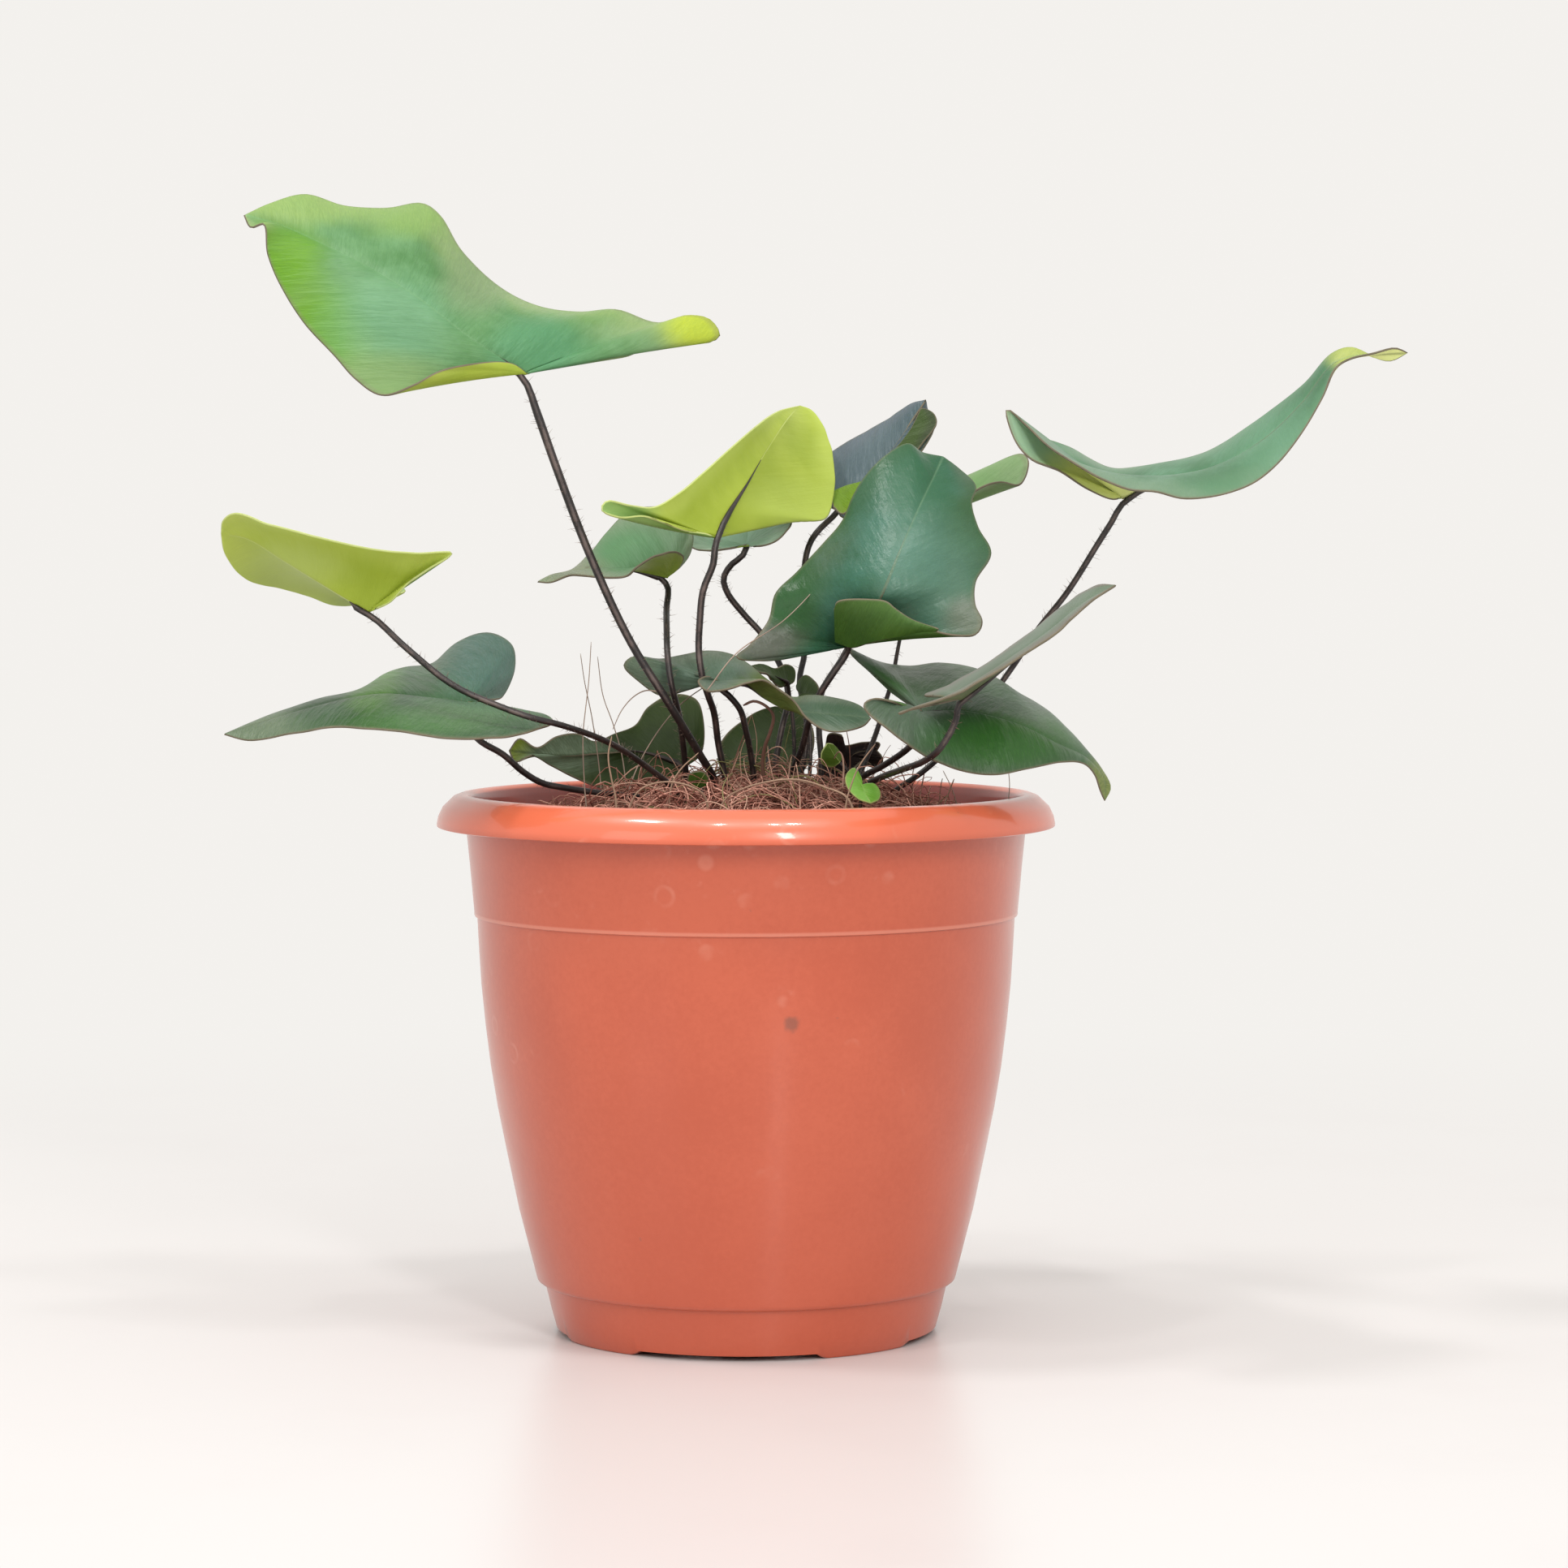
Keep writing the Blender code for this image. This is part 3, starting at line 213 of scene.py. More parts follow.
# Nursery pot: one injection-moulded shell of terracotta-coloured polypropylene, thin enough to flex, with
# a rim rolled out and down, a shallow band step, a foot step, four curved feet and six drainage holes.
RIM_RADIUS = 63.5
POT_HEIGHT = 111.0
BASE_RADIUS = 39.0
WALL = 1.1
BAND_Z = 86.0
FOOT_Z = 10.0
FLOOR_LOW_Z = 1.2
FLOOR_TOP_Z = 2.8
FLOOR_RING = 22.0
POT_TURN_STEPS = 240
FEET = 4
FOOT_DEG = 32.0
FIRST_FOOT_DEG = -51.0
DRAIN_HOLES = 6
DRAIN_SIDES = 32
DRAIN_RADIUS = 4.5
DRAIN_RING = 25.0
SCUFF_PLACE = (0.0088, -0.0535, 0.0688)

POT_OUTSIDE = [
    (RIM_RADIUS - inward, level + up) for level, steps in (
        (POT_HEIGHT, [(6.9, -0.5), (6.0, 0.0), (4.6, -0.15), (3.4, -0.6), (1.2, -2.7), (0.3, -4.6),
                      (0.0, -6.1), (0.05, -6.55), (0.4, -6.7), (0.8, -6.2), (2.2, -3.8), (4.4, -2.7),
                      (5.4, -3.1), (5.75, -4.5), (6.2, -9.0), (6.7, -14.0)]),
        (BAND_Z, [(7.62, 0.75), (7.6, 0.3), (7.7, 0.05), (8.18, -0.1), (8.24, -0.6), (8.6, -7.5),
                  (9.0, -14.0), (9.85, -22.5), (10.9, -31.0), (12.3, -39.5), (14.0, -48.0), (16.6, -60.5)]),
        (FOOT_Z, [(19.7, 3.4), (20.15, 1.6), (20.35, 1.0), (20.8, 0.65), (21.85, 0.35), (22.05, -0.3),
                  (23.2, -5.2)]),
    ) for inward, up in steps
]
POT_OUTSIDE += [(BASE_RADIUS + 0.25, 0.5), (BASE_RADIUS - 0.1, 0.06)]
POT_INSIDE = [
    (BASE_RADIUS - 2.3, 0.06), (BASE_RADIUS - 2.6, FLOOR_LOW_Z), (FLOOR_RING, FLOOR_LOW_Z),
    (0.0, FLOOR_LOW_Z), (0.0, FLOOR_TOP_Z),
    (FLOOR_RING, FLOOR_TOP_Z), (BASE_RADIUS - WALL - 1.6, FLOOR_TOP_Z),
    (BASE_RADIUS - WALL - 0.4, FLOOR_TOP_Z + 0.6), (RIM_RADIUS - 22.0 - WALL, FOOT_Z),
    (RIM_RADIUS - 20.7 - WALL, FOOT_Z + 2.6), (RIM_RADIUS - 14.0 - WALL, BAND_Z - 48.0),
    (RIM_RADIUS - 10.9 - WALL, BAND_Z - 31.0), (RIM_RADIUS - 9.0 - WALL, BAND_Z - 14.0),
    (RIM_RADIUS - 8.3 - WALL, BAND_Z - 2.0), (RIM_RADIUS - 6.9 - WALL, POT_HEIGHT - 12.0),
    (RIM_RADIUS - 6.2 - WALL, POT_HEIGHT - 2.4), (RIM_RADIUS - 7.15, POT_HEIGHT - 1.1),
]


def turned(profile, steps, lift=None):
    """A closed profile of radius and height carried round the axis; lift changes heights by angle."""
    profile = np.array(profile, float)
    turns = np.linspace(0, math.tau, steps, endpoint=False)
    radius = np.broadcast_to(profile[:, 0], (steps, len(profile)))
    height = np.broadcast_to(profile[:, 1], (steps, len(profile))).copy()
    if lift is not None:
        height = lift(turns[:, None], height)
    grid = np.stack([radius * np.sin(turns)[:, None], -radius * np.cos(turns)[:, None], height], axis=2)
    here = np.arange(steps * len(profile)).reshape(steps, len(profile))
    after = np.roll(here, -1, axis=0)
    faces = np.stack([here, after, np.roll(after, -1, axis=1), np.roll(here, -1, axis=1)], axis=2)
    return grid.reshape(-1, 3), faces.reshape(-1, 4)


def merged(piece, distance=0.0001):
    """Weld points nearer than this many millimetres, which closes poles, and drop empty faces."""
    shape = bmesh.new()
    shape.from_mesh(piece.data)
    bmesh.ops.remove_doubles(shape, verts=shape.verts, dist=distance * MM)
    bmesh.ops.dissolve_degenerate(shape, edges=shape.edges, dist=distance * MM)
    bmesh.ops.recalc_face_normals(shape, faces=shape.faces)
    shape.to_mesh(piece.data)
    shape.free()
    return piece


def feet(turn, height):
    """Between the four feet, the rim of the base is lifted almost to the floor of the pot."""
    spacing = 360.0 / FEET
    off = (np.degrees(turn) - FIRST_FOOT_DEG + spacing / 2) % spacing - spacing / 2
    gap = np.clip((np.abs(off) - FOOT_DEG / 2) / 1.5, 0, 1)
    return np.where(height < FLOOR_LOW_Z - 0.1, height + gap * (FLOOR_LOW_Z - 0.15 - height), height)


points, faces = turned(POT_OUTSIDE + POT_INSIDE, POT_TURN_STEPS, feet)
pot_plastic, tree, shader, here = new_surface(
    "terracotta plastic", 0.30, Specular_IOR_Level=0.5, Coat_Weight=0.5, Coat_Roughness=0.08,
)
pot = merged(mesh_piece("nursery_pot", points, faces, [pot_plastic]))
for number in range(DRAIN_HOLES):
    angle = math.tau * (number + 0.5) / DRAIN_HOLES
    around = np.linspace(0, math.tau, DRAIN_SIDES, endpoint=False)
    wall = np.stack([DRAIN_RADIUS * np.cos(around), DRAIN_RADIUS * np.sin(around)], axis=1)
    wall += DRAIN_RING * np.array([math.cos(angle), math.sin(angle)])
    low, high = (np.column_stack([wall, np.full(DRAIN_SIDES, z)]) for z in (-2.0, 6.0))
    after = [(i + 1) % DRAIN_SIDES for i in range(DRAIN_SIDES)]
    sides = [(i, j, DRAIN_SIDES + j, DRAIN_SIDES + i) for i, j in enumerate(after)]
    ends = [range(DRAIN_SIDES - 1, -1, -1), range(DRAIN_SIDES, 2 * DRAIN_SIDES)]
    plug = mesh_piece("drain_plug", np.concatenate([low, high]), [*ends, *sides], [])
    hole = pot.modifiers.new("drain", "BOOLEAN")
    hole.operation = "DIFFERENCE"
    hole.object = plug
    graph = bpy.context.evaluated_depsgraph_get()
    drilled = bpy.data.meshes.new_from_object(pot.evaluated_get(graph))
    pot.modifiers.clear()
    pot.data = drilled
    bpy.data.objects.remove(plug)
pot.data.set_sharp_from_angle(angle=math.radians(50))

# The plastic: a faintly mottled orange-brown, with painted light on the rim and painted shade inside and
# towards the foot, chalky water marks, a painted highlight along the band step, a few dark specks and one
# dark scuff.
split = node(tree, "SeparateXYZ", {0: here})
height = times(tree, split.outputs["Z"], 1 / MM)
mottle = times(tree, sums(tree, "SUBTRACT", noise(tree, here, 800.0, 3.0, 0.7), 0.5), 0.5)
patches = plus(tree, noise(tree, here, 22.0, 4.0, 0.6), mottle)
base = mix(tree, fade(tree, patches, 0.3, 0.75), colour_of(184, 79, 48), colour_of(193, 88, 57))
# Painted shade: a little darker towards the foot.
base = mix(tree, fade(tree, height, 0.0, 60.0, (0.35, 0.0)), base, colour_of(182, 77, 47))
# Painted light: the rolled rim is a lighter orange, as if lit from above.
painted_rim_light = fade(tree, height, 103.5, 106.0)
base = mix(tree, painted_rim_light, base, colour_of(214, 102, 70))
level = node(tree, "CombineXYZ", {0: split.outputs["X"], 1: split.outputs["Y"]}).outputs[0]
radius = times(tree, length_of(tree, level), 1 / MM)
# Painted shade: the inside of the wall near the top is a dark red.
painted_inner_shade = times(tree, fade(tree, radius, 56.6, 56.4), fade(tree, height, 96.0, 97.0))
base = mix(tree, painted_inner_shade, base, colour_of(150, 52, 36))
drops = node(tree, "TexVoronoi", {"Vector": here, "Scale": 130.0, "Randomness": 1.0}).outputs["Distance"]
ring = times(tree, fade(tree, drops, 0.16, 0.24), fade(tree, drops, 0.34, 0.26))
splashed = plus(tree, noise(tree, here, 42.0, 4.0, 0.65), fade(tree, height, 40, 110, (0, 0.08)))
splashed = times(tree, fade(tree, splashed, 0.58, 0.72), fade(tree, height, 25.0, 50.0))
chalk = fade(tree, noise(tree, here, 300.0, 4.0), 0.6, 0.8)
marks = times(tree, splashed, sums(tree, "MAXIMUM", ring, chalk))
base = mix(tree, times(tree, marks, 0.16), base, colour_of(232, 170, 148))
specks = fade(tree, noise(tree, here, 420.0, 1.0), 0.80, 0.84)
base = mix(tree, times(tree, specks, 0.5), base, colour_of(150, 80, 62))
# Painted highlight: a pale line along the top of the band step, where it catches the light.
above_step = fade(tree, height, BAND_Z - 0.1, BAND_Z + 0.2)
wear_and_painted_highlight = times(tree, above_step, fade(tree, height, BAND_Z + 1.0, BAND_Z + 0.5))
base = mix(tree, times(tree, wear_and_painted_highlight, 0.3), base, colour_of(236, 166, 144))
away = node(tree, "VectorMath", {0: here, 1: SCUFF_PLACE}, operation="DISTANCE").outputs["Value"]
frayed = plus(tree, times(tree, away, 1 / MM), times(tree, noise(tree, here, 700.0), 1.6))
base = mix(tree, fade(tree, frayed, 2.9, 1.5, (0.0, 0.75)), base, colour_of(128, 70, 52))
paint(tree, shader, base)
gloss = fade(tree, noise(tree, here, 35.0, 3.0), 0.3, 0.7, (0.285, 0.37))
tree.links.new(gloss, shader.inputs["Roughness"])
bumps(tree, shader, (noise(tree, here, 900.0, 2.0), 0.06, 0.0002))
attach(pot, "root")
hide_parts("pot")

# Potting mix: coir fibre and peat that fills the pot to a finger's width under the rim and mounds up round
# the crown. Matted reddish fibres lie tangled over its top.
MIX_EDGE_Z = 99.0
MOUND = 10.5
MOUND_RADIUS = 30.0
MOUND_MIDDLE_X = 3.0
LOOSE_MOUND = 1.6
MIX_TURNS = 220
MIX_RINGS = 80
CRUMBS = [(1.5, 4.1, 3), (0.9, 1.7, 4), (0.5, 0.8, 5)]
LATTICE = 97


def inner_radius(z):
    """Radius of the pot's inside at a height, read between the points of its profile."""
    wall = [(r, h) for r, h in POT_INSIDE if h >= FLOOR_TOP_Z and r > FLOOR_RING]
    return np.interp(z, [h for _, h in wall], [r for r, _ in wall])


def lumps(x, y, size, seed):
    """Random heights from 0 to 1 on a square lattice of this size, eased between its points."""
    table = np.random.default_rng(seed).random((LATTICE, LATTICE))
    i, j = np.floor(x / size).astype(int), np.floor(y / size).astype(int)
    u, v = x / size - i, y / size - j
    u, v = u * u * (3 - 2 * u), v * v * (3 - 2 * v)
    i, j, right, up = i % LATTICE, j % LATTICE, (i + 1) % LATTICE, (j + 1) % LATTICE
    low = table[i, j] * (1 - u) + table[right, j] * u
    high = table[i, up] * (1 - u) + table[right, up] * u
    return low * (1 - v) + high * v


def mix_height(x, y):
    """Height of the mix: a bell-shaped mound on a nearly level bed, with slow ripples."""
    mound = MOUND * np.exp(-((np.hypot(x - MOUND_MIDDLE_X, y) / MOUND_RADIUS) ** 2))
    ripple = 0.7 * np.sin(0.31 * x + 1.0) * np.cos(0.27 * y) + 0.5 * np.sin(0.19 * (x - 1.7 * y))
    loose = LOOSE_MOUND * np.exp(-(((x - 2) / 40) ** 2) - (y / 26) ** 2)
    return MIX_EDGE_Z + mound + ripple + loose


def crumbs(x, y):
    """Crumbs of three sizes that stand on the mix: each has a height, a width and a seed."""
    return sum(high * (lumps(x, y, size, seed) - 0.5) for high, size, seed in CRUMBS)


def ring_faces(rings, sides):
    """Faces between each ring of points and the next."""
    here = np.arange(rings * sides).reshape(rings, sides)
    near, far = here[:-1], here[1:]
    faces = np.stack([near, far, np.roll(far, -1, axis=1), np.roll(near, -1, axis=1)], axis=2)
    return faces.reshape(-1, 4)


def turned_rows(radius, height):
    """Rows of points round the axis with their faces: a radius to each row, a height to each point."""
    turns = np.linspace(0, math.tau, height.shape[1], endpoint=False)
    points = np.stack([radius[:, None] * np.cos(turns), radius[:, None] * np.sin(turns), height], axis=2)
    return points.reshape(-1, 3), ring_faces(*height.shape)


top_radius = inner_radius(MIX_EDGE_Z) - 0.5
top_rings = top_radius * np.linspace(0, 1, MIX_RINGS)
turns = np.linspace(0, math.tau, MIX_TURNS, endpoint=False)
flat_x, flat_y = top_rings[:, None] * np.cos(turns), top_rings[:, None] * np.sin(turns)
near_wall = np.clip((top_radius - top_rings) / 4.0, 0, 1)[:, None]
top = mix_height(flat_x, flat_y) + crumbs(flat_x, flat_y) * near_wall
wall_z = np.linspace(MIX_EDGE_Z - 2.0, FLOOR_TOP_Z + 0.3, 12)
rings = np.concatenate([top_rings, inner_radius(wall_z) - 0.5, [0.0]])
low = np.broadcast_to(np.append(wall_z, FLOOR_TOP_Z + 0.3)[:, None], (13, MIX_TURNS))
points, faces = turned_rows(rings, np.concatenate([top, low]))
mix_stuff, tree, shader, here = new_surface("coir and peat", 0.95, Specular_IOR_Level=0.15)
grain = noise(tree, here, 900.0, 5.0, 0.7)
base = mix(tree, fade(tree, grain, 0.35, 0.7), colour_of(68, 36, 32), colour_of(160, 94, 78))
base = mix(tree, fade(tree, noise(tree, here, 160.0, 3.0), 0.55, 0.75), base, colour_of(170, 100, 82))
paint(tree, shader, base)
bumps(tree, shader, (grain, 0.9, 0.0006))
mix_piece = merged(mesh_piece("potting_mix", points, faces, [mix_stuff]))
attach(mix_piece, "root")
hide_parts("soil")

# Coir fibres: hair-thin strands of coconut husk, washed out of the mix, that lie over it in loops. Most of
# them are matted into a low heap round the crown, and the rest lie thinly out to the wall of the pot.
FIBRES = 3400
FIBRE_STEPS = 10
HEAP_SHARE = 0.75
HEAP_Z = 112.0


def unit(ways):
    """Ways of any length, brought to a length of 1."""
    return ways / np.maximum(np.linalg.norm(ways, axis=-1, keepdims=True), 1e-9)


def tubes(paths, radii, sides):
    """Round tubes with closed ends along many paths at once: a ring of points square to each path's way.

    The rings turn about the direction in which each path spreads least, so they don't twist.
    """
    paths, radii = np.asarray(paths, float), np.asarray(radii, float)
    count, steps, _ = paths.shape
    ahead = unit(np.gradient(paths, axis=1))
    spread = paths - paths.mean(axis=1, keepdims=True)
    _, _, ways = np.linalg.svd(spread, full_matrices=True)
    across = unit(np.cross(ahead, ways[:, 2:3, :]))
    up = np.cross(across, ahead)
    turns = np.linspace(0, math.tau, sides, endpoint=False)
    ring = np.cos(turns)[:, None] * across[:, :, None, :] + np.sin(turns)[:, None] * up[:, :, None, :]
    points = paths[:, :, None, :] + ring * radii[:, :, None, None]
    index = np.arange(count * steps * sides).reshape(count, steps, sides)
    near, far = index[:, :-1], index[:, 1:]
    walls = np.stack([near, np.roll(near, -1, axis=2), np.roll(far, -1, axis=2), far], axis=3).reshape(-1, 4)
    caps = [*index[:, 0, ::-1].tolist(), *index[:, -1, :].tolist()]
    return points.reshape(-1, 3), [*walls.tolist(), *caps]


def point_values(piece, name, values):
    """One number to each point of a piece, for its material to read."""
    made = piece.data.attributes.new(name, "FLOAT", "POINT")
    made.data.foreach_set("value", np.asarray(values, np.float32))


def reading(tree, name):
    """The numbers that point_values gave the points of a piece."""
    return node(tree, "Attribute", attribute_name=name).outputs["Fac"]


def laid(begin, way, stride, edge):
    """Where strands run, seen from above: each keeps this far from the pot's wall."""
    x = begin[:, :1] + np.cumsum(np.cos(way) * stride, axis=1)
    y = begin[:, 1:] + np.cumsum(np.sin(way) * stride, axis=1)
    far = np.maximum(np.hypot(x, y) / (top_radius - edge), 1.0)
    return x / far, y / far


draw = np.random.default_rng(11)
heap = draw.random(FIBRES) < HEAP_SHARE
in_heap = np.stack([draw.uniform(-40, 42, FIBRES), draw.uniform(-26, 20, FIBRES)], axis=1)
out = 50.0 * np.sqrt(draw.random((FIBRES, 1)))
turn = draw.random(FIBRES) * math.tau
begin = np.where(heap[:, None], in_heap, out * np.stack([np.cos(turn), np.sin(turn)], axis=1))
heading = draw.random(FIBRES)[:, None] * math.tau
s = np.linspace(0, 1, FIBRE_STEPS)[None, :]
bend = draw.normal(0, 1.6, (FIBRES, 1)) * s + draw.normal(0, 0.8, (FIBRES, 1)) * np.sin(5 * s + heading)
x, y = laid(begin, heading + bend, draw.uniform(5, 22, (FIBRES, 1)) / FIBRE_STEPS, 2.0)
level = np.where(heap, draw.uniform(0, 1, FIBRES) ** 1.3, draw.uniform(0, 0.12, FIBRES))[:, None]
rise = draw.gamma(1.6, 0.9, (FIBRES, 1)) * np.where(heap, 1.2, 0.7)[:, None]
top = HEAP_Z + 1.6 * (lumps(x, y, 7.0, 8) - 0.5)
lowest = mix_height(x, y) + crumbs(x, y) * 0.5 - 0.3
spread = np.clip(1.55 - np.hypot((x - 1) / 44, (y + 3) / 32), 0, 1)
z = lowest + np.maximum(top - lowest, 0) * level * spread
z += rise * np.sin(math.pi * s) * (0.35 + 0.65 * spread) + 0.25 * np.sin(9 * s + heading)
radii = draw.uniform(0.09, 0.2, (FIBRES, 1)) * np.broadcast_to(1 - 0.5 * s, (FIBRES, FIBRE_STEPS))
points, faces = tubes(np.stack([x, y, z], axis=2), radii, 3)
husk, tree, shader, here = new_surface("coir fibre", 0.85, Specular_IOR_Level=0.2)
paint(tree, shader, mix(tree, reading(tree, "tint"), colour_of(132, 78, 66), colour_of(232, 176, 156)))
fibres = mesh_piece("coir_fibres", points, faces, [husk])
point_values(fibres, "tint", np.repeat(draw.random(FIBRES) ** 1.5, FIBRE_STEPS * 3))
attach(fibres, "root")

# Long loose strands: thicker husk fibres and bits of dry grass that lie across the top in arcs. A few stand
# up out of the mix, and some still have a green tinge.
STRANDS = 190
STRAND_STEPS = 16
STANDING = 0.16

draw = np.random.default_rng(13)
begin = np.stack([draw.uniform(-40, 40, STRANDS), draw.uniform(-34, 16, STRANDS)], axis=1)
stands = (draw.random(STRANDS) < STANDING)[:, None]
heading = draw.normal(0, 0.9, STRANDS)[:, None] + np.where(draw.random(STRANDS) < 0.5, 0, math.pi)[:, None]
s = np.linspace(0, 1, STRAND_STEPS)[None, :]
bend = draw.normal(0, 0.9, (STRANDS, 1)) * s + draw.normal(0, 0.35, (STRANDS, 1)) * np.sin(6 * s + heading)
length = np.where(stands, draw.uniform(5, 14, (STRANDS, 1)), draw.uniform(10, 34, (STRANDS, 1)))
flat = np.where(stands, draw.uniform(0.1, 0.6, (STRANDS, 1)), 1.0)
x, y = laid(begin, heading + bend, flat * length / STRAND_STEPS, 3.0)
spread = np.clip(1.5 - np.hypot((x - 1) / 44, (y + 3) / 32), 0, 1)
z = mix_height(x, y) + (HEAP_Z - MIX_EDGE_Z) * 0.35 * spread
bow = draw.gamma(1.6, 1.3, (STRANDS, 1)) * np.sin(math.pi * s)
arc = np.where(stands, length * np.sqrt(1 - flat**2) * s, bow)
z = z + arc + draw.normal(0, 0.35, (STRANDS, 1)) * np.sin(8 * s + heading)
radii = draw.uniform(0.11, 0.24, (STRANDS, 1)) * (1 - 0.55 * s)
points, faces = tubes(np.stack([x, y, z], axis=2), radii, 4)
grass, tree, shader, here = new_surface("loose strand", 0.75, Specular_IOR_Level=0.3)
base = mix(tree, reading(tree, "tint"), colour_of(134, 92, 78), colour_of(208, 168, 146))
base = mix(tree, reading(tree, "green"), base, colour_of(122, 130, 72))
dark = fade(tree, noise(tree, here, 180.0), 0.3, 0.7, (0, 0.3))
paint(tree, shader, mix(tree, dark, base, colour_of(92, 66, 54)))
strands = mesh_piece("loose_strands", points, faces, [grass])
point_values(strands, "tint", np.repeat(draw.random(STRANDS), STRAND_STEPS * 4))
point_values(strands, "green", np.repeat((draw.random(STRANDS) < 0.2) * 0.8, STRAND_STEPS * 4))
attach(strands, "root")

# Rootstock: the short creeping stem at the crown, half sunk in the mix, that the fronds grow from. It is
# woody, and clad in narrow brown scales that stand off it.
ROOT_MIDDLE = np.array([6.0, 2.0, 104.5])
ROOT_HALF = np.array([21.0, 10.5, 6.0])
ROOT_TURNS = 72
ROOT_RINGS = 40
SCALES = 900


def root_surface(turn, lean):
    """A ball stretched to size, with low swellings: the way out from its middle gives each point."""
    way = np.stack([np.cos(lean) * np.cos(turn), np.cos(lean) * np.sin(turn), np.sin(lean)], axis=-1)
    x, y, z = np.moveaxis(way, -1, 0)
    lump = 1.0 + 0.05 * np.sin(7 * x + 2 * y) + 0.04 * np.cos(6 * y - 3 * z)
    lump = lump + 0.03 * np.sin(19 * x + 13 * y + 11 * z)
    return ROOT_MIDDLE + way * ROOT_HALF * lump[..., None]


turns = np.linspace(0, math.tau, ROOT_TURNS, endpoint=False)
grid = root_surface(*np.meshgrid(turns, np.linspace(math.pi / 2, -math.pi / 2, ROOT_RINGS)))
bark, tree, shader, here = new_surface("scaly rootstock", 0.9, Specular_IOR_Level=0.2)
flecks = noise(tree, here, 700.0, 4.0, 0.6)
paint(tree, shader, mix(tree, flecks, colour_of(38, 28, 24), colour_of(104, 76, 58)))
bumps(tree, shader, (flecks, 0.8, 0.0004))
faces = ring_faces(ROOT_RINGS, ROOT_TURNS)
rootstock = merged(mesh_piece("rootstock_body", grid.reshape(-1, 3), faces, [bark]))
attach(rootstock, "root")
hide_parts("rootstock")

draw = np.random.default_rng(12)
foot = root_surface(draw.random(SCALES) * math.tau, draw.uniform(0.1, 1.5, SCALES))
out = unit((foot - ROOT_MIDDLE) / ROOT_HALF**2)
way = unit(out + draw.normal(0, 0.5, (SCALES, 3)) + (0, 0, 0.4))
s = np.linspace(0, 1, 4)[None, :, None]
droop = np.array([0, 0, -1.0]) * s**2 * draw.uniform(0, 0.8, (SCALES, 1, 1))
paths = foot[:, None, :] + (way[:, None, :] * s + droop) * draw.uniform(1.2, 3.0, (SCALES, 1, 1))
points, faces = tubes(paths, np.broadcast_to(np.array([0.16, 0.14, 0.09, 0.02]), (SCALES, 4)), 3)
scale_skin, tree, shader, here = new_surface("brown scale", 0.7, Specular_IOR_Level=0.3)
paint(tree, shader, mix(tree, reading(tree, "tint"), colour_of(46, 32, 26), colour_of(128, 90, 62)))
scales = mesh_piece("rootstock_scales", points, faces, [scale_skin])
point_values(scales, "tint", np.repeat(draw.random(SCALES), 12))
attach(scales, "root")

# Fronds held high: the largest blades, grown in good light, with a smooth leathery upper side that is
# blue-green over the veins and yellow-green towards the edge. Each stands on one dark wiry stipe.
VIEW_DISTANCE = 950.0
VIEW_HEIGHT = 164.7
LOBE_SHARE = 0.36
BLADE_ROWS = 120
BLADE_THICKNESS = 0.45
FULL_BULGE_WIDTH = 16.0
ACROSS = np.array([0, 0.02, 0.05, 0.1, 0.18, 0.28, 0.4, 0.52, 0.64, 0.75, 0.85, 0.92, 0.965, 0.99, 1.0])
STIPE_SIDES = 12
RIB_SHARE = 0.4
STIPE_THIN = 0.66
BLADE_SHADE = 0.86
READINGS = ("edge", "run", "across", "vein", "calm")
hair_feet = []


def seen(points):
    """Places of points given as across and up on the plane of the pot's axis, and how far behind it."""
    across, up, behind = np.array(points, float).T
    reach = (VIEW_DISTANCE + behind) / VIEW_DISTANCE
    return np.stack([across * reach, behind, VIEW_HEIGHT + (up - VIEW_HEIGHT) * reach], axis=1)


def smooth_curve(points, count):
    """Points spaced evenly by length along a smooth curve through the given ones (Catmull-Rom)."""
    points = np.asarray(points, float)
    knots = np.concatenate([[0.0], np.cumsum(np.sqrt(np.linalg.norm(np.diff(points, axis=0), axis=1)))])
    slopes = np.gradient(points, knots, axis=0)
    fine = np.linspace(0.0, knots[-1], 40 * len(points))
    left = np.clip(np.searchsorted(knots, fine, side="right") - 1, 0, len(points) - 2)
    width = (knots[left + 1] - knots[left])[:, None]
    u = (fine - knots[left])[:, None] / width
    curve = (
        (2 * u**3 - 3 * u**2 + 1) * points[left] + (u**3 - 2 * u**2 + u) * width * slopes[left]
        + (3 * u**2 - 2 * u**3) * points[left + 1] + (u**3 - u**2) * width * slopes[left + 1]
    )
    along = np.concatenate([[0.0], np.cumsum(np.linalg.norm(np.diff(curve, axis=0), axis=1))])
    wanted = np.linspace(0.0, along[-1], count)
    return np.stack([np.interp(wanted, along, curve[:, axis]) for axis in range(3)], axis=1)


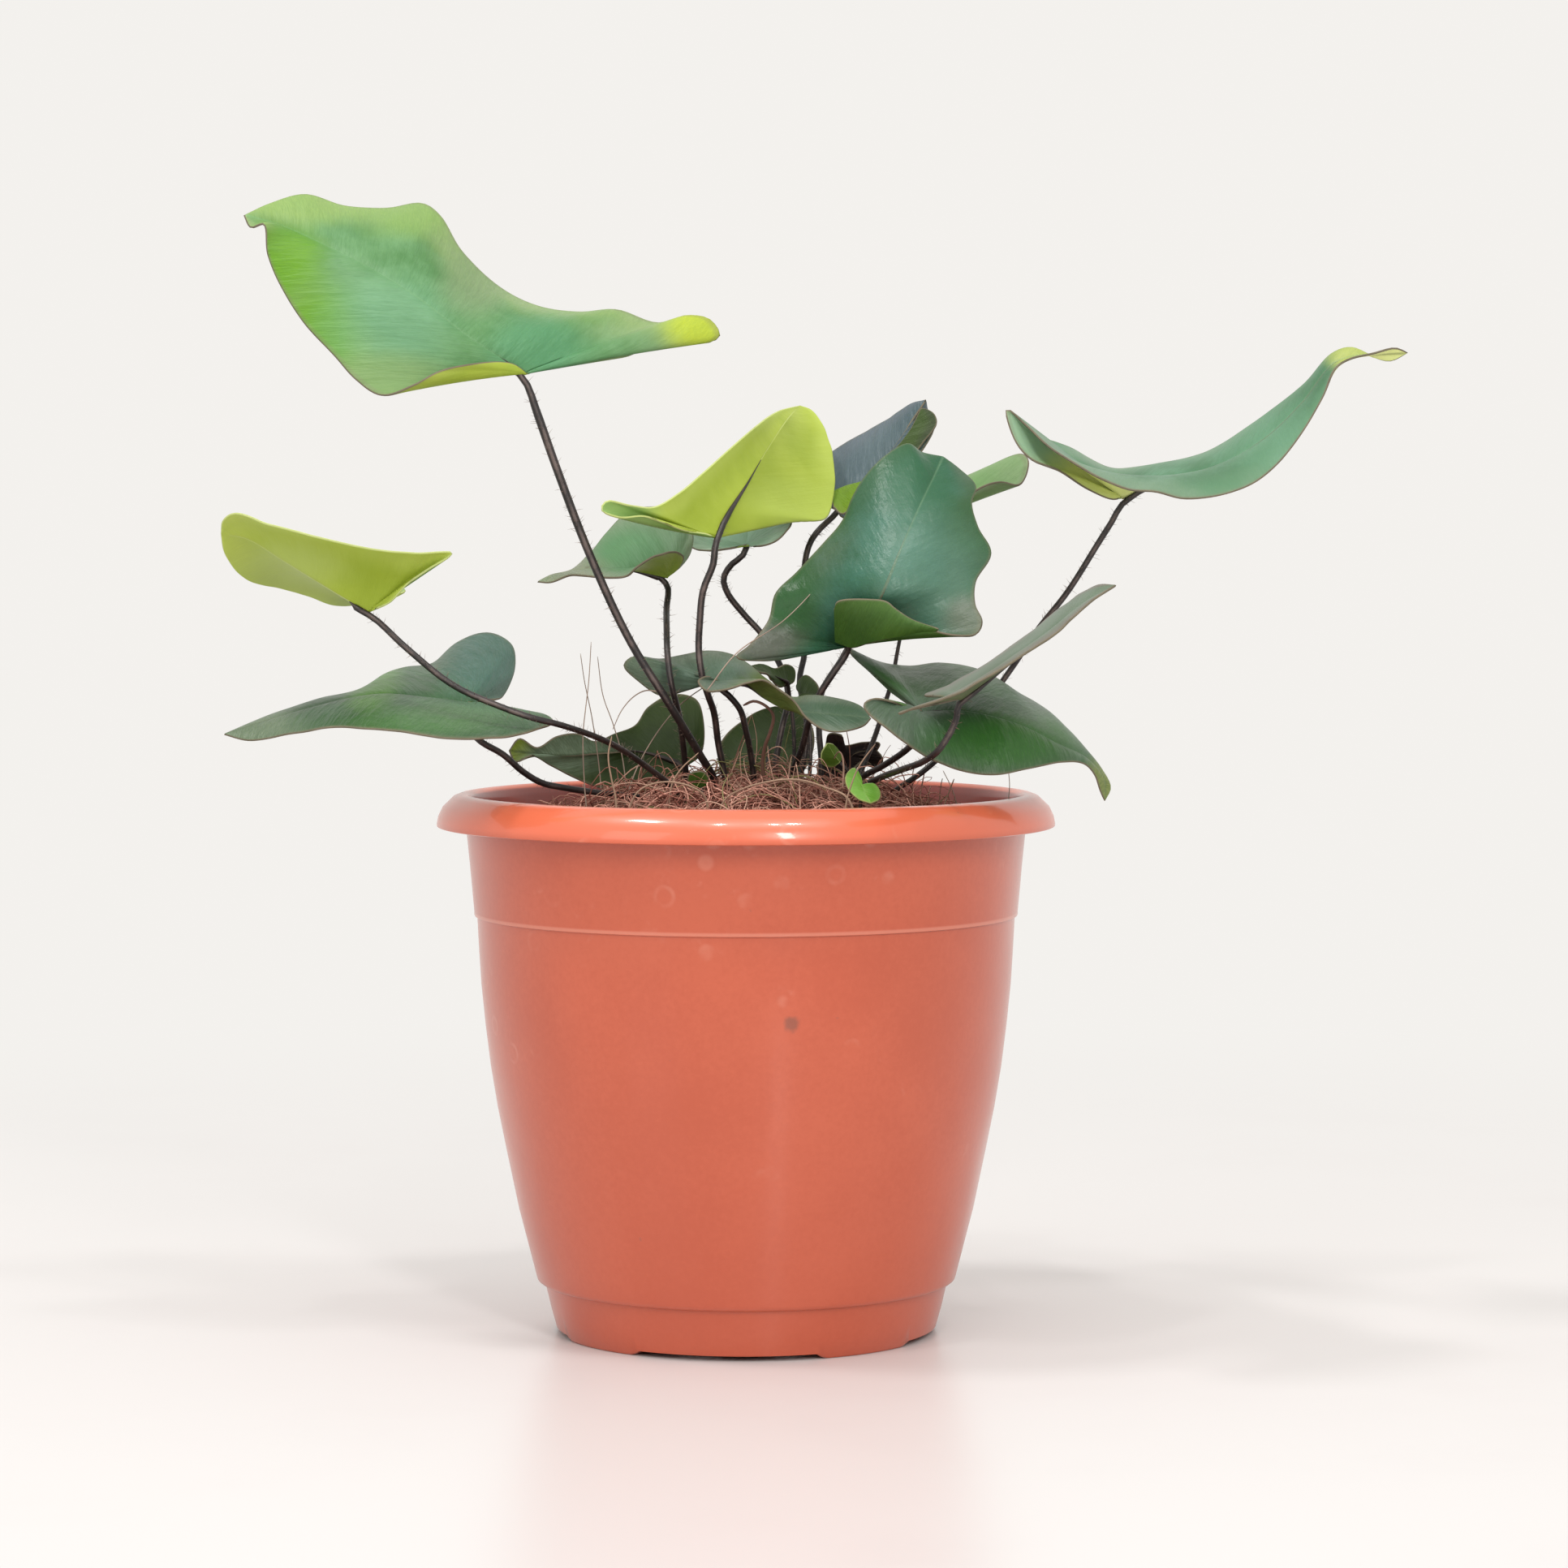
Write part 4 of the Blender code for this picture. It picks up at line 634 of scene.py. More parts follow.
def half_blade(midrib, margin, ahead, bulge, turn, groove_depth):
    """Half of a blade as a grid: rows from notch to tip, columns from midrib to margin.

    The lobe's rows fan out of the stipe's end, later rows start further up the midrib, and each is
    arched to the upper side by four times its share times the share left, times the bulge.
    """
    outline = smooth_curve([midrib[0], *margin, midrib[-1]], BLADE_ROWS + 1)
    t = np.linspace(0.0, 1.0, BLADE_ROWS + 1)
    share = np.clip((t - LOBE_SHARE) / (1.0 - LOBE_SHARE), 0.0, 1.0)
    fine = smooth_curve(midrib, 401)
    inner = np.stack([np.interp(share * 400, np.arange(401), fine[:, a]) for a in range(3)], axis=1)
    reach = outline - inner
    width = np.linalg.norm(reach, axis=1)
    normal = unit(turn * np.cross(ahead, reach))
    out = ACROSS[None, :, None]
    size = np.minimum(width / FULL_BULGE_WIDTH, 1.0)
    ahead_out = np.gradient(outline, axis=0)
    slant = np.linalg.norm(np.cross(ahead_out, reach), axis=1)
    slant /= np.maximum(np.linalg.norm(ahead_out, axis=1) * width, 1e-9)
    calm = np.clip(1.7 * slant - 0.35, 0.0, 1.0)
    calm = np.convolve(np.pad(calm, 3, mode="edge"), np.full(7, 1 / 7), mode="valid")
    arch = 4 * out * (1 - out) * bulge * (size * calm)[:, None, None]
    groove = groove_depth * np.exp(-((width[:, None] * ACROSS / 0.9) ** 2))[:, :, None] * size[:, None, None]
    ripple = 0.35 * (lumps(t * 37 + 9 * turn, t * 0 + 5, 1.6, 21) - 0.5)
    ripple = ripple[:, None, None] * out**3 * size[:, None, None]
    grid = inner[:, None, :] * (1 - out) + outline[:, None, :] * out
    grid = grid + (arch - groove + ripple) * normal[:, None, :]
    run = np.concatenate([[0.0], np.cumsum(np.linalg.norm(np.diff(outline, axis=0), axis=1))])
    from_lobe_vein = np.abs(t - 0.5 * LOBE_SHARE)[:, None] * run[-1] * ACROSS
    from_midrib = np.where(t[:, None] < LOBE_SHARE, 9.0, width[:, None] * ACROSS)
    return {
        "grid": grid, "edge": np.broadcast_to(ACROSS, grid.shape[:2]), "normal": normal, "inner": inner,
        "run": np.broadcast_to(run[:, None], grid.shape[:2]), "across": width[:, None] * ACROSS * turn,
        "vein": np.minimum(from_midrib, 0.6 + from_lobe_vein + 2.0 * (t[:, None] > LOBE_SHARE)),
        "calm": np.broadcast_to(calm[:, None], grid.shape[:2]),
    }


def blade_piece(name, halves, surfaces):
    """Two skins half a thickness to each side of the halves' surface, joined by a rounded edge."""
    rows, columns = halves[0]["grid"].shape[:2]
    index = np.arange(rows * columns).reshape(rows, columns)
    a, b, c, d = index[:-1, :-1], index[1:, :-1], index[1:, 1:], index[:-1, 1:]
    left = np.stack([a, b, c, d], axis=2).reshape(-1, 4)
    right = np.stack([a, d, c, b], axis=2).reshape(-1, 4) + rows * columns
    middle = mesh_piece(name, np.concatenate([h["grid"].reshape(-1, 3) for h in halves]),
                        np.concatenate([left, right][: len(halves)]), surfaces)
    for key in READINGS:
        point_values(middle, key, np.concatenate([h[key].reshape(-1) for h in halves]))
    shape = bmesh.new()
    shape.from_mesh(middle.data)
    bmesh.ops.remove_doubles(shape, verts=shape.verts, dist=0.004 * MM)
    bmesh.ops.dissolve_degenerate(shape, edges=shape.edges, dist=0.001 * MM)
    shape.to_mesh(middle.data)
    shape.free()
    mesh = middle.data
    count = len(mesh.vertices)
    points = np.empty(count * 3)
    mesh.vertices.foreach_get("co", points)
    points = points.reshape(-1, 3) / MM
    normals = np.empty(count * 3)
    mesh.vertex_normals.foreach_get("vector", normals)
    normals = normals.reshape(-1, 3)
    faces = [list(face.vertices) for face in mesh.polygons]
    pairs = np.concatenate([np.stack([f, np.roll(f, -1)], axis=1) for f in faces])
    codes = pairs[:, 0].astype(np.int64) * count + pairs[:, 1]
    back = pairs[:, 1].astype(np.int64) * count + pairs[:, 0]
    border = pairs[~np.isin(codes, back)]
    half = BLADE_THICKNESS / 2
    near, far = border.T
    outward = unit(np.cross(points[far] - points[near], normals[near]))
    push = np.zeros((count, 3))
    np.add.at(push, near, outward)
    np.add.at(push, far, outward)
    push = unit(push)
    rim = np.unique(border)
    rim_place = np.zeros(count, int)
    rim_place[rim] = 2 * count + np.arange(len(rim))
    whole = np.concatenate([points + normals * half, points - normals * half, points[rim] + push[rim] * half])
    upper_rim = np.stack([far, near, rim_place[near], rim_place[far]], axis=1)
    under_rim = np.stack([rim_place[far], rim_place[near], near + count, far + count], axis=1)
    underside = [[v + count for v in reversed(f)] for f in faces]
    skins = [*faces, *underside, *upper_rim.tolist(), *under_rim.tolist()]
    indices = np.repeat([0, 1, 2], [len(faces), len(faces), 2 * len(border)])
    kept = {}
    for key in READINGS:
        values = np.empty(count, np.float32)
        mesh.attributes[key].data.foreach_get("value", values)
        kept[key] = np.concatenate([values, values, values[rim]])
    bpy.data.objects.remove(middle)
    piece = mesh_piece(name, whole, skins, surfaces, indices)
    for key, values in kept.items():
        point_values(piece, key, values)
    return piece


def frond(name, skins, stipe, midrib, left, right, bulge, radius=1.0, rib=RIB_SHARE, thin=STIPE_THIN,
          rim=None, groove=0.3):
    """One frond: its blade, and its stipe, which runs on under the blade as a tapering rib."""
    midrib, left, right, stipe = (seen(points) for points in (midrib, left, right, stipe))
    ahead = midrib[-1] - midrib[0]
    halves = [half_blade(midrib, side, ahead, bulge, turn, groove) for side, turn in ((left, 1), (right, -1))]
    blade = blade_piece(name + "_blade", halves, [*skins, rim or margin_skin])
    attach(blade, "root")
    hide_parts("blade_" + name)
    upper = unit(halves[0]["normal"] + halves[1]["normal"])
    first = int(LOBE_SHARE * BLADE_ROWS) + 4
    last = first + max(2, int((BLADE_ROWS - first) * rib))
    under = halves[0]["inner"] - upper * (BLADE_THICKNESS / 2 + 0.42)
    lower = smooth_curve([*stipe[:0:-1], stipe[0], under[first]], 46)
    path = np.concatenate([lower, under[first + 2:last:2]])
    taper = np.linspace(1.0, 1.08, 46) * radius * thin
    taper[-6:] = np.linspace(taper[-6], min(0.62, taper[-6]), 6)
    rib_radii = 0.07 + (taper[-1] - 0.07) * np.linspace(1, 0, len(path) - 46) ** 1.6
    sunk = np.concatenate([np.zeros(46), np.linspace(0, 0.38, len(path) - 46)])
    path[46:] += upper[first + 2:last:2] * sunk[46:, None]
    radii = np.concatenate([taper, rib_radii])
    points, faces = tubes(path[None], radii[None], STIPE_SIDES)
    stalk = mesh_piece(name + "_stipe", points, faces, [stipe_skin])
    mark_front_highlight(stalk, points, path)
    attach(stalk, "root")
    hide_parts("stipe_" + name)
    hair_feet.append((lower[8:], taper[8:]))


def mark_front_highlight(stalk, points, path):
    """Mark how far each point of a tube lies round to the front, where a stipe's shallow groove runs and a
    highlight is painted.
    """
    sides = len(points) // len(path)
    off = unit(points.reshape(len(path), sides, 3) - path[:, None, :])
    point_values(stalk, "groove", -off[:, :, 1].reshape(-1))


def spot(tree, here, place, size, soft=0.55):
    """A soft-edged oval, 1 in its middle and 0 outside, of a place and half sizes in the picture's plane."""
    middle = seen([place])[0] * MM
    off = node(tree, "VectorMath", {0: here, 1: tuple(middle)}, operation="SUBTRACT").outputs[0]
    scale = (1 / (size[0] * MM), 0, 1 / (size[1] * MM))
    off = node(tree, "VectorMath", {0: off, 1: scale}, operation="MULTIPLY").outputs[0]
    ragged = times(tree, sums(tree, "SUBTRACT", noise(tree, here, 130.0, 3.0), 0.5), 0.9 * soft)
    return fade(tree, plus(tree, length_of(tree, off), ragged), 1.0 + soft, 1.0 - soft)


def blade_skin(name, body, deep, edge, edge_from=0.45, painted_sheen=None, painted_sheen_share=0.5, vein=None, vein_share=0.5,
               vein_width=0.55, roughness=0.42, streaks=0.45, spots=(), margin_share=0.3, relief=0.28,
               glow=0.06, net=0.3, ribbed=0.4, shade=BLADE_SHADE):
    """The skin of one side of a blade.

    Fine streaks follow the veins out to the margin, broad clouds shift the colour, the edge takes its own
    tint, a painted sheen lies in patches towards it, and the midrib and the lobe veins show as thin lines.
    """

    def shaded(colour):
        return colour and tuple(shade * c for c in colour_of(*colour))

    body, deep, edge, painted_sheen, vein = (shaded(colour) for colour in (body, deep, edge, painted_sheen, vein))
    made, tree, shader, here = new_surface(
        name, roughness, Specular_IOR_Level=0.26, Subsurface_Weight=glow, Subsurface_Scale=0.0015,
        Subsurface_Radius=(1.0, 1.0, 0.4),
    )
    read = {key: reading(tree, key) for key in READINGS}
    off = sums(tree, "ABSOLUTE", read["across"])
    slanted = sums(tree, "SUBTRACT", read["run"], times(tree, off, 0.55))
    veins = node(tree, "CombineXYZ", {
        0: times(tree, slanted, 1.2), 1: times(tree, read["across"], 0.34),
    }).outputs[0]
    streak = noise(tree, veins, 1.0, 4.0, 0.7)
    folds = noise(tree, veins, 0.34, 2.0, 0.5)
    cloud = noise(tree, here, 55.0, 4.0, 0.6)
    base = mix(tree, fade(tree, cloud, 0.35, 0.65), body, deep)
    share = times(tree, fade(tree, streak, 0.44, 0.66, (0, streaks)), read["calm"])
    base = mix(tree, share, base, deep)
    uneven = plus(tree, read["edge"], times(tree, sums(tree, "SUBTRACT", cloud, 0.5), 0.7))
    base = mix(tree, fade(tree, uneven, edge_from, 1.0), base, edge)
    # Painted sheen: a greyish tint in patches towards the margin.
    if painted_sheen is not None:
        patch = fade(tree, noise(tree, here, 38.0, 3.0), 0.42, 0.62)
        spread = fade(tree, read["edge"], 0.35, 0.95)
        share = times(tree, times(tree, patch, spread), painted_sheen_share)
        base = mix(tree, share, base, painted_sheen)
    # Spots give their colours to given patches of the blade; some of them are painted sheen.
    for place, size, colour, share in spots:
        base = mix(tree, times(tree, spot(tree, here, place, size), share), base, shaded(colour))
    if vein is not None:
        line = fade(tree, read["vein"], vein_width, 0.25 * vein_width)
        base = mix(tree, times(tree, line, vein_share), base, vein)
    settings = {"Vector": veins, "Scale": 2.4, "Randomness": 0.9}
    mesh_of_veins = node(tree, "TexVoronoi", settings).outputs["Distance"]
    share = times(tree, fade(tree, mesh_of_veins, 0.15, 0.7, (0.0, net)), read["calm"])
    base = mix(tree, share, base, deep)
    share = fade(tree, read["edge"], 0.955, 0.985, (0.0, margin_share))
    paint(tree, shader, mix(tree, share, base, MARGIN_COLOUR))
    bumps(
        tree, shader,
        (folds, times(tree, read["calm"], 1.5 * ribbed * relief), 0.003),
        (noise(tree, here, 330.0, 3.0, 0.6), 0.4 * relief, 0.001),
        (streak, times(tree, read["calm"], ribbed * relief + 0.05), 0.0006),
        (mesh_of_veins, times(tree, read["calm"], 0.4 * net), 0.0003),
    )
    return made


def plain_skin(name, roughness, scale, first, second, detail=3.0, specular=0.3):
    """A Principled material of two shades in soft patches, this many of them to a metre."""
    made, tree, shader, here = new_surface(name, roughness, Specular_IOR_Level=specular)
    paint(tree, shader, mix(tree, noise(tree, here, scale, detail), colour_of(*first), colour_of(*second)))
    return made


MARGIN_COLOUR = colour_of(112, 108, 86)
margin_skin = plain_skin("blade margin", 0.6, 300.0, (84, 78, 62), (124, 114, 94))
stipe_skin, tree, shader, here = new_surface("dark stipe", 0.42, Specular_IOR_Level=0.5)
wear_and_painted_highlight = noise(tree, here, 240.0, 4.0, 0.6)
# Painted highlight: a pale line down the front of each stipe, where its shallow groove runs.
uneven = plus(tree, reading(tree, "groove"), times(tree, sums(tree, "SUBTRACT", wear_and_painted_highlight, 0.5), 0.5))
base = mix(tree, fade(tree, wear_and_painted_highlight, 0.4, 0.75), colour_of(30, 24, 24), colour_of(54, 42, 40))
base = mix(tree, fade(tree, uneven, 0.86, 1.06, (0.0, 0.7)), base, colour_of(112, 96, 90))
paint(tree, shader, base)
bumps(tree, shader, (wear_and_painted_highlight, 0.3, 0.0003))


def flap(name, skins, low, high, swell=0.5):
    """The folded-over part of a lobe: a sheet between its fold and its free margin, swollen in front."""
    fold, free = (smooth_curve(seen(points), BLADE_ROWS + 1) for points in (low, high))
    out = ACROSS[None, :, None]
    grid = fold[:, None, :] * (1 - out) + free[:, None, :] * out
    t = np.linspace(0, 1, BLADE_ROWS + 1)
    lift = 4 * out * (1 - out) * swell * np.sin(math.pi * t)[:, None, None]
    grid = grid + lift * np.array([0, -1.0, 0])
    run = np.concatenate([[0.0], np.cumsum(np.linalg.norm(np.diff(free, axis=0), axis=1))])
    width = np.linalg.norm(free - fold, axis=1)
    side = {
        "grid": grid, "edge": np.broadcast_to(ACROSS, grid.shape[:2]),
        "run": np.broadcast_to(run[:, None], grid.shape[:2]), "across": width[:, None] * ACROSS,
        "vein": np.full(grid.shape[:2], 9.0), "calm": np.ones(grid.shape[:2]),
    }
    piece = blade_piece(name, [side], [*skins, margin_skin])
    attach(piece, "root")


mature_upper = blade_skin(
    "mature upper side", (106, 152, 102), (74, 124, 68), (124, 158, 84), 0.5,
    painted_sheen=(148, 166, 122), painted_sheen_share=0.6, vein=(128, 180, 122), vein_share=0.3,
    streaks=0.3, net=0.15, spots=[
        ((-95, 219.4, -20), (8, 8), (100, 152, 26), 1.0),
        ((-87.4, 205, -20), (8, 10), (100, 152, 26), 0.95),
        ((-89.9, 231.3, -6), (15, 4.5), (142, 172, 96), 0.9),
        ((-68.2, 229.6, 0), (10, 5), (130, 164, 84), 0.8),
        # Painted sheen: the next spot.
        ((-72.2, 207.1, -12), (12, 9), (112, 164, 128), 0.5),
        ((-54.9, 215.4, 4), (6, 7), (126, 148, 106), 0.7),
        ((-73.2, 196, -30), (11, 4.5), (116, 148, 88), 0.8),
        ((-42.2, 202.1, -10), (9, 6), (84, 144, 104), 0.7), ((-8.4, 206.6, 0), (8, 6), (176, 192, 56), 1.0),
    ],
)
mature_under = blade_skin(
    "mature underside", (168, 186, 66), (150, 172, 56), (172, 188, 80), 0.6,
    vein=(120, 130, 50), streaks=0.25, roughness=0.5,
)
frond(
    "tall_left", (mature_upper, mature_under), thin=0.8, bulge=1.2,
    stipe=[(-45, 195, -18), (-42.8, 189, -18), (-38.6, 177, -18), (-32.1, 160, -18), (-24, 142.5, -17.5),
        (-16, 129.5, -16.5), (-9.5, 118.8, -10), (-6.4, 113, -5), (-6.5, 107, -2.5), (-6.5, 102, -1)],
    midrib=[(-45, 197, -18), (-56, 204, -21), (-68, 213, -20), (-82, 221, -16), (-94, 226.5, -14),
        (-102.3, 229, -16)],
    left=[(-48, 198.8, -20), (-56, 198.7, -26), (-62, 197.5, -29), (-68, 194.5, -31), (-74.5, 192.5, -31),
        (-79.5, 195.6, -29), (-84, 200.5, -26), (-90, 207, -23), (-94.5, 214, -20), (-97.5, 221, -18),
        (-98.4, 227.2, -18), (-101, 226.6, -17)],
    right=[(-43, 197.8, -15), (-39, 198, -12), (-30, 199.8, -6), (-24, 200.6, -3), (-20, 202.6, -1),
        (-16.5, 205, 0), (-8, 203.2, 2), (-5.5, 204.5, 3), (-7.5, 207.8, 4), (-12, 208.6, 3),
        (-18, 207.1, 2), (-26, 209.7, 2), (-34, 209.2, 2), (-42, 210.3, 1), (-50, 214, 0), (-58, 221.6, 0),
        (-62.5, 229, 2), (-66, 231.3, 4), (-73, 230.4, 2), (-82, 231, -2), (-90, 233.2, -6),
        (-97, 231.4, -11)],
)

right_upper = blade_skin(
    "tall right upper side", (96, 140, 110), (70, 114, 80), (90, 132, 98), 0.5,
    painted_sheen=(126, 148, 124), painted_sheen_share=0.7, vein=(118, 160, 126), vein_share=0.25, relief=0.15,
    net=0.12, spots=[
        ((124.3, 200.4, 0), (4.5, 3.4), (176, 186, 96), 0.9), ((108, 184, 0), (10, 7), (98, 144, 112), 0.6),
    ],
)
# Painted light: this underside is paler than its own dusty colour, lightened where it faces down into shade.
right_under = blade_skin(
    "tall right underside", (228, 236, 158), (214, 224, 142), (214, 224, 150), 0.6,
    vein=(110, 120, 60), streaks=0.2, roughness=0.6, relief=0.05, net=0.05, glow=0.1,
    spots=[
        ((57, 185, -5), (8.5, 9), (150, 184, 152), 1.0),
    ],
)
frond(
    "tall_right", (right_upper, right_under), thin=0.6, bulge=0.8,
    stipe=[(76.8, 169.8, 5), (75.4, 167.2, 5), (72.4, 162.4, 6), (66, 152.2, 8), (60, 144.6, 10),
        (54.6, 136.6, 12), (48, 127.5, 12), (42, 120.4, 11), (36, 115, 9), (31, 111.6, 7), (27, 108, 6),
        (24, 103.5, 5)],
    midrib=[(77.2, 171.6, 5), (84, 175, 3), (95, 177.5, 2), (106, 183.5, 0), (114, 191, 0), (120.6, 199, 0),
        (128, 200.8, 0), (135.4, 201.2, 0)],
    left=[(76, 172.2, 6.6), (70, 176, 13), (63.4, 181.2, 19.6), (61.8, 183.2, 22), (66, 181.8, 23),
        (75, 177.6, 21), (85, 178.6, 18), (95, 181, 14), (105, 187.4, 10), (114, 194.3, 6), (120.2, 201, 3),
        (124, 202.2, 1.4), (128.4, 200.4, 1.2), (132, 199.6, 1)],
    right=[(75, 171.3, 2), (70, 173.3, -3), (64, 177.2, -6), (58.5, 179.4, -6), (55.2, 183.2, -5),
        (53.4, 189.6, -4), (57.5, 186.2, -5), (62, 182, -9), (68, 178.2, -12), (74, 174.8, -14),
        (79, 173, -14), (84, 172.7, -14), (90, 171.3, -14), (98, 172.2, -13), (105, 175.2, -11),
        (112, 182, -8), (118, 191.8, -5), (120.8, 198, -3), (124, 200, -1.4), (128.4, 201, -1.2),
        (133, 202.1, -1)],
)

# Young fronds: thinner, still yellow-green, and turned so that the paler underside shows, with the stipe
# running up it as a dark rib.
young_margin = plain_skin("young margin", 0.6, 300.0, (172, 186, 104), (188, 196, 132))
young_upper = blade_skin(
    "young upper side", (136, 170, 88), (118, 154, 74), (146, 178, 104), 0.5,
    vein=(160, 188, 110), vein_share=0.2, streaks=0.3, margin_share=0.0,
)
young_under = blade_skin(
    "young underside", (166, 183, 64), (152, 171, 50), (176, 193, 82), 0.6,
    streaks=0.2, roughness=0.5, margin_share=0.0, relief=0.1, net=0.0, glow=0.15, spots=[
        ((-93, 157.4, 0), (13, 4.6), (172, 188, 96), 0.8), ((-103, 164, 0), (6, 7), (176, 190, 84), 0.7),
        ((-24.9, 168.8, -10), (6, 4), (146, 184, 108), 0.9), ((10, 171, -10), (9, 5), (174, 192, 84), 0.6),
    ],
)
frond(
    "young_left", (young_upper, young_under), rib=0.12, thin=0.6, rim=young_margin, groove=0.1,
    bulge=0.8,
    stipe=[(-76, 146.6, -34), (-70, 141, -36), (-60, 133, -38), (-50, 128.5, -38), (-44, 126.4, -37.5),
        (-38, 124.9, -35), (-28, 121.2, -25), (-20, 116, -14), (-14.5, 111.5, -9), (-9.5, 105.5, -7.5),
        (-8.5, 101, -7.5)],
    midrib=[(-77.5, 148.2, -34), (-86, 153.4, -36), (-95, 159, -37), (-102, 163.2, -37),
        (-107.4, 164.2, -35)],
    left=[(-75.5, 149, -35), (-73, 150.2, -36), (-69.5, 153.8, -37), (-65, 157, -38), (-61, 159.4, -38),
        (-60.4, 160.2, -38), (-68, 160.2, -40), (-75, 160.8, -42), (-82, 162, -44), (-90, 164, -45),
        (-98, 166.1, -44), (-104.5, 168.3, -41), (-107, 166.8, -38)],
    right=[(-76.5, 149.4, -31), (-73, 151, -24), (-70, 152.4, -18), (-72, 152.6, -13), (-78, 150, -14),
        (-84, 149.5, -17), (-90, 151.5, -19), (-96, 153.3, -21), (-101, 154.2, -24), (-104.6, 157, -28),
        (-106.8, 160.6, -32)],
)
frond(
    "young_centre", (young_upper, young_under), rib=0.42, rim=young_margin, groove=0.04,
    bulge=1,
    stipe=[(-6.3, 161.6, -17), (-6.7, 158, -17), (-8.8, 152.5, -16.5), (-9.5, 146, -16), (-9.7, 140, -15.6),
        (-9, 135, -15.8), (-7.8, 131, -14.5), (-6.6, 127.5, -12), (-5.7, 121, -9), (-4.4, 114.5, -7),
        (-3, 108, -5.5), (-2, 102, -5)],
    midrib=[(-6.3, 163.4, -16), (-3.6, 168.5, -11), (0, 174.2, -3), (4, 181, 9), (8, 187, 24),
        (11, 190.2, 42)],
    left=[(-4, 164.8, -11), (-1, 166.4, -6), (4, 168, 0), (9, 167, 4), (13, 166.8, 8), (16, 167.2, 12),
        (17.6, 170.5, 18), (18.1, 176, 25), (17.5, 181, 31), (15.8, 186, 36), (13.4, 189.3, 40)],
    right=[(-8.5, 164.1, -18), (-12, 164.7, -21), (-17, 166.4, -25), (-21, 167.7, -28), (-26, 167.6, -30),
        (-29.7, 169, -31), (-28.6, 170.7, -31), (-23.5, 170, -29), (-19, 169.5, -26), (-14, 172.2, -21),
        (-9, 176.3, -14), (-4, 180.8, -5), (2, 186, 8), (6.5, 189, 25)],
)

# Fronds of the middle tier: grown in half shade, so a softer grey-green, with a painted sheen along the edge
# and a broad satin sheen. The one behind the young frond is the palest, and the slim one is seen edge on.
soft_upper = blade_skin(
    "soft green upper side", (120, 146, 116), (96, 134, 92), (132, 150, 122), 0.55,
    painted_sheen=(146, 154, 132), painted_sheen_share=0.8, vein=(136, 160, 128), vein_share=0.2, spots=[
        ((-24, 160.8, -8), (8, 4.5), (98, 150, 104), 0.8),
        ((-38.2, 156.3, -8), (8, 4), (150, 152, 130), 0.8),
    ],
)
# Painted light: this underside is lightened beyond its own olive colour where it lies in shade.
soft_under = blade_skin(
    "soft green underside", (150, 176, 72), (132, 160, 62), (150, 172, 84), 0.6,
    vein=(110, 124, 54), streaks=0.25, roughness=0.5,
)
frond(
    "centre_left", (soft_upper, soft_under), thin=0.62, bulge=0.5,
    stipe=[(-16.1, 153.4, 3.6), (-16.3, 149, 0), (-16.3, 145, -7), (-16.1, 139, -13.6), (-15.4, 133.5, -15),
        (-13.8, 127, -12), (-13, 121.6, -9), (-12.4, 115, -5), (-12, 109, -1), (-12, 103, -0.5)],
    midrib=[(-16.2, 155.4, 4), (-24, 157, 1), (-32, 156.9, -2), (-38, 155.7, -4), (-42.6, 154.3, -5)],
    left=[(-14, 157, 1), (-13, 159.6, -4), (-15.5, 160.4, -7), (-19.5, 159.2, -9), (-22.3, 157.4, -10),
        (-24.5, 155.4, -9), (-30, 155.2, -8), (-36, 155.6, -6.5), (-40, 154.2, -5.5)],
    right=[(-13.5, 157.4, 7), (-11.6, 160, 9), (-11, 163.6, 11), (-12.5, 167.6, 13), (-17, 169.6, 14),
        (-24, 168.5, 12), (-28.4, 164.4, 9), (-32, 160, 5), (-36, 156.6, -0.5), (-40, 155.6, -3.5)],
)

pale_upper = blade_skin(
    "pale green upper side", (136, 166, 140), (120, 154, 126), (144, 168, 144), 0.55,
    painted_sheen=(158, 172, 152), painted_sheen_share=0.7, vein=(150, 176, 150), vein_share=0.2, streaks=0.4,
)
frond(
    "behind_young", (pale_upper, soft_under), thin=0.62, bulge=0.8,
    stipe=[(-0.6, 159.8, 8), (-3.2, 157.6, 9), (-4.6, 155, 10), (-3.8, 152, 11), (-0.4, 147.6, 12),
        (3.4, 143.4, 12), (6.6, 138, 11), (8.2, 134, 10), (8.6, 129.5, 9), (7.4, 124.5, 8.2), (6.2, 118, 7),
        (5.5, 112, 6), (5, 102, 5)],
    midrib=[(0, 161.8, 7), (1, 168, 16), (2, 174, 28), (3, 180, 44)],
    left=[(-4, 161, 9), (-8, 160.7, 13), (-11.5, 161.6, 18), (-12.4, 164.6, 22), (-10.5, 168.5, 27),
        (-7, 173, 33), (-2, 177.6, 39)],
    right=[(3, 161.6, 4), (6, 162.6, 3), (8.6, 165, 5), (9.6, 168.5, 11), (9.5, 172, 19), (8, 176, 28),
        (5.5, 178.8, 36)],
)
back_green = blade_skin(
    "back green upper side", (132, 168, 112), (112, 152, 94), (130, 158, 112), 0.55,
    painted_sheen=(146, 158, 128), painted_sheen_share=0.6, streaks=0.4, roughness=0.5,
)
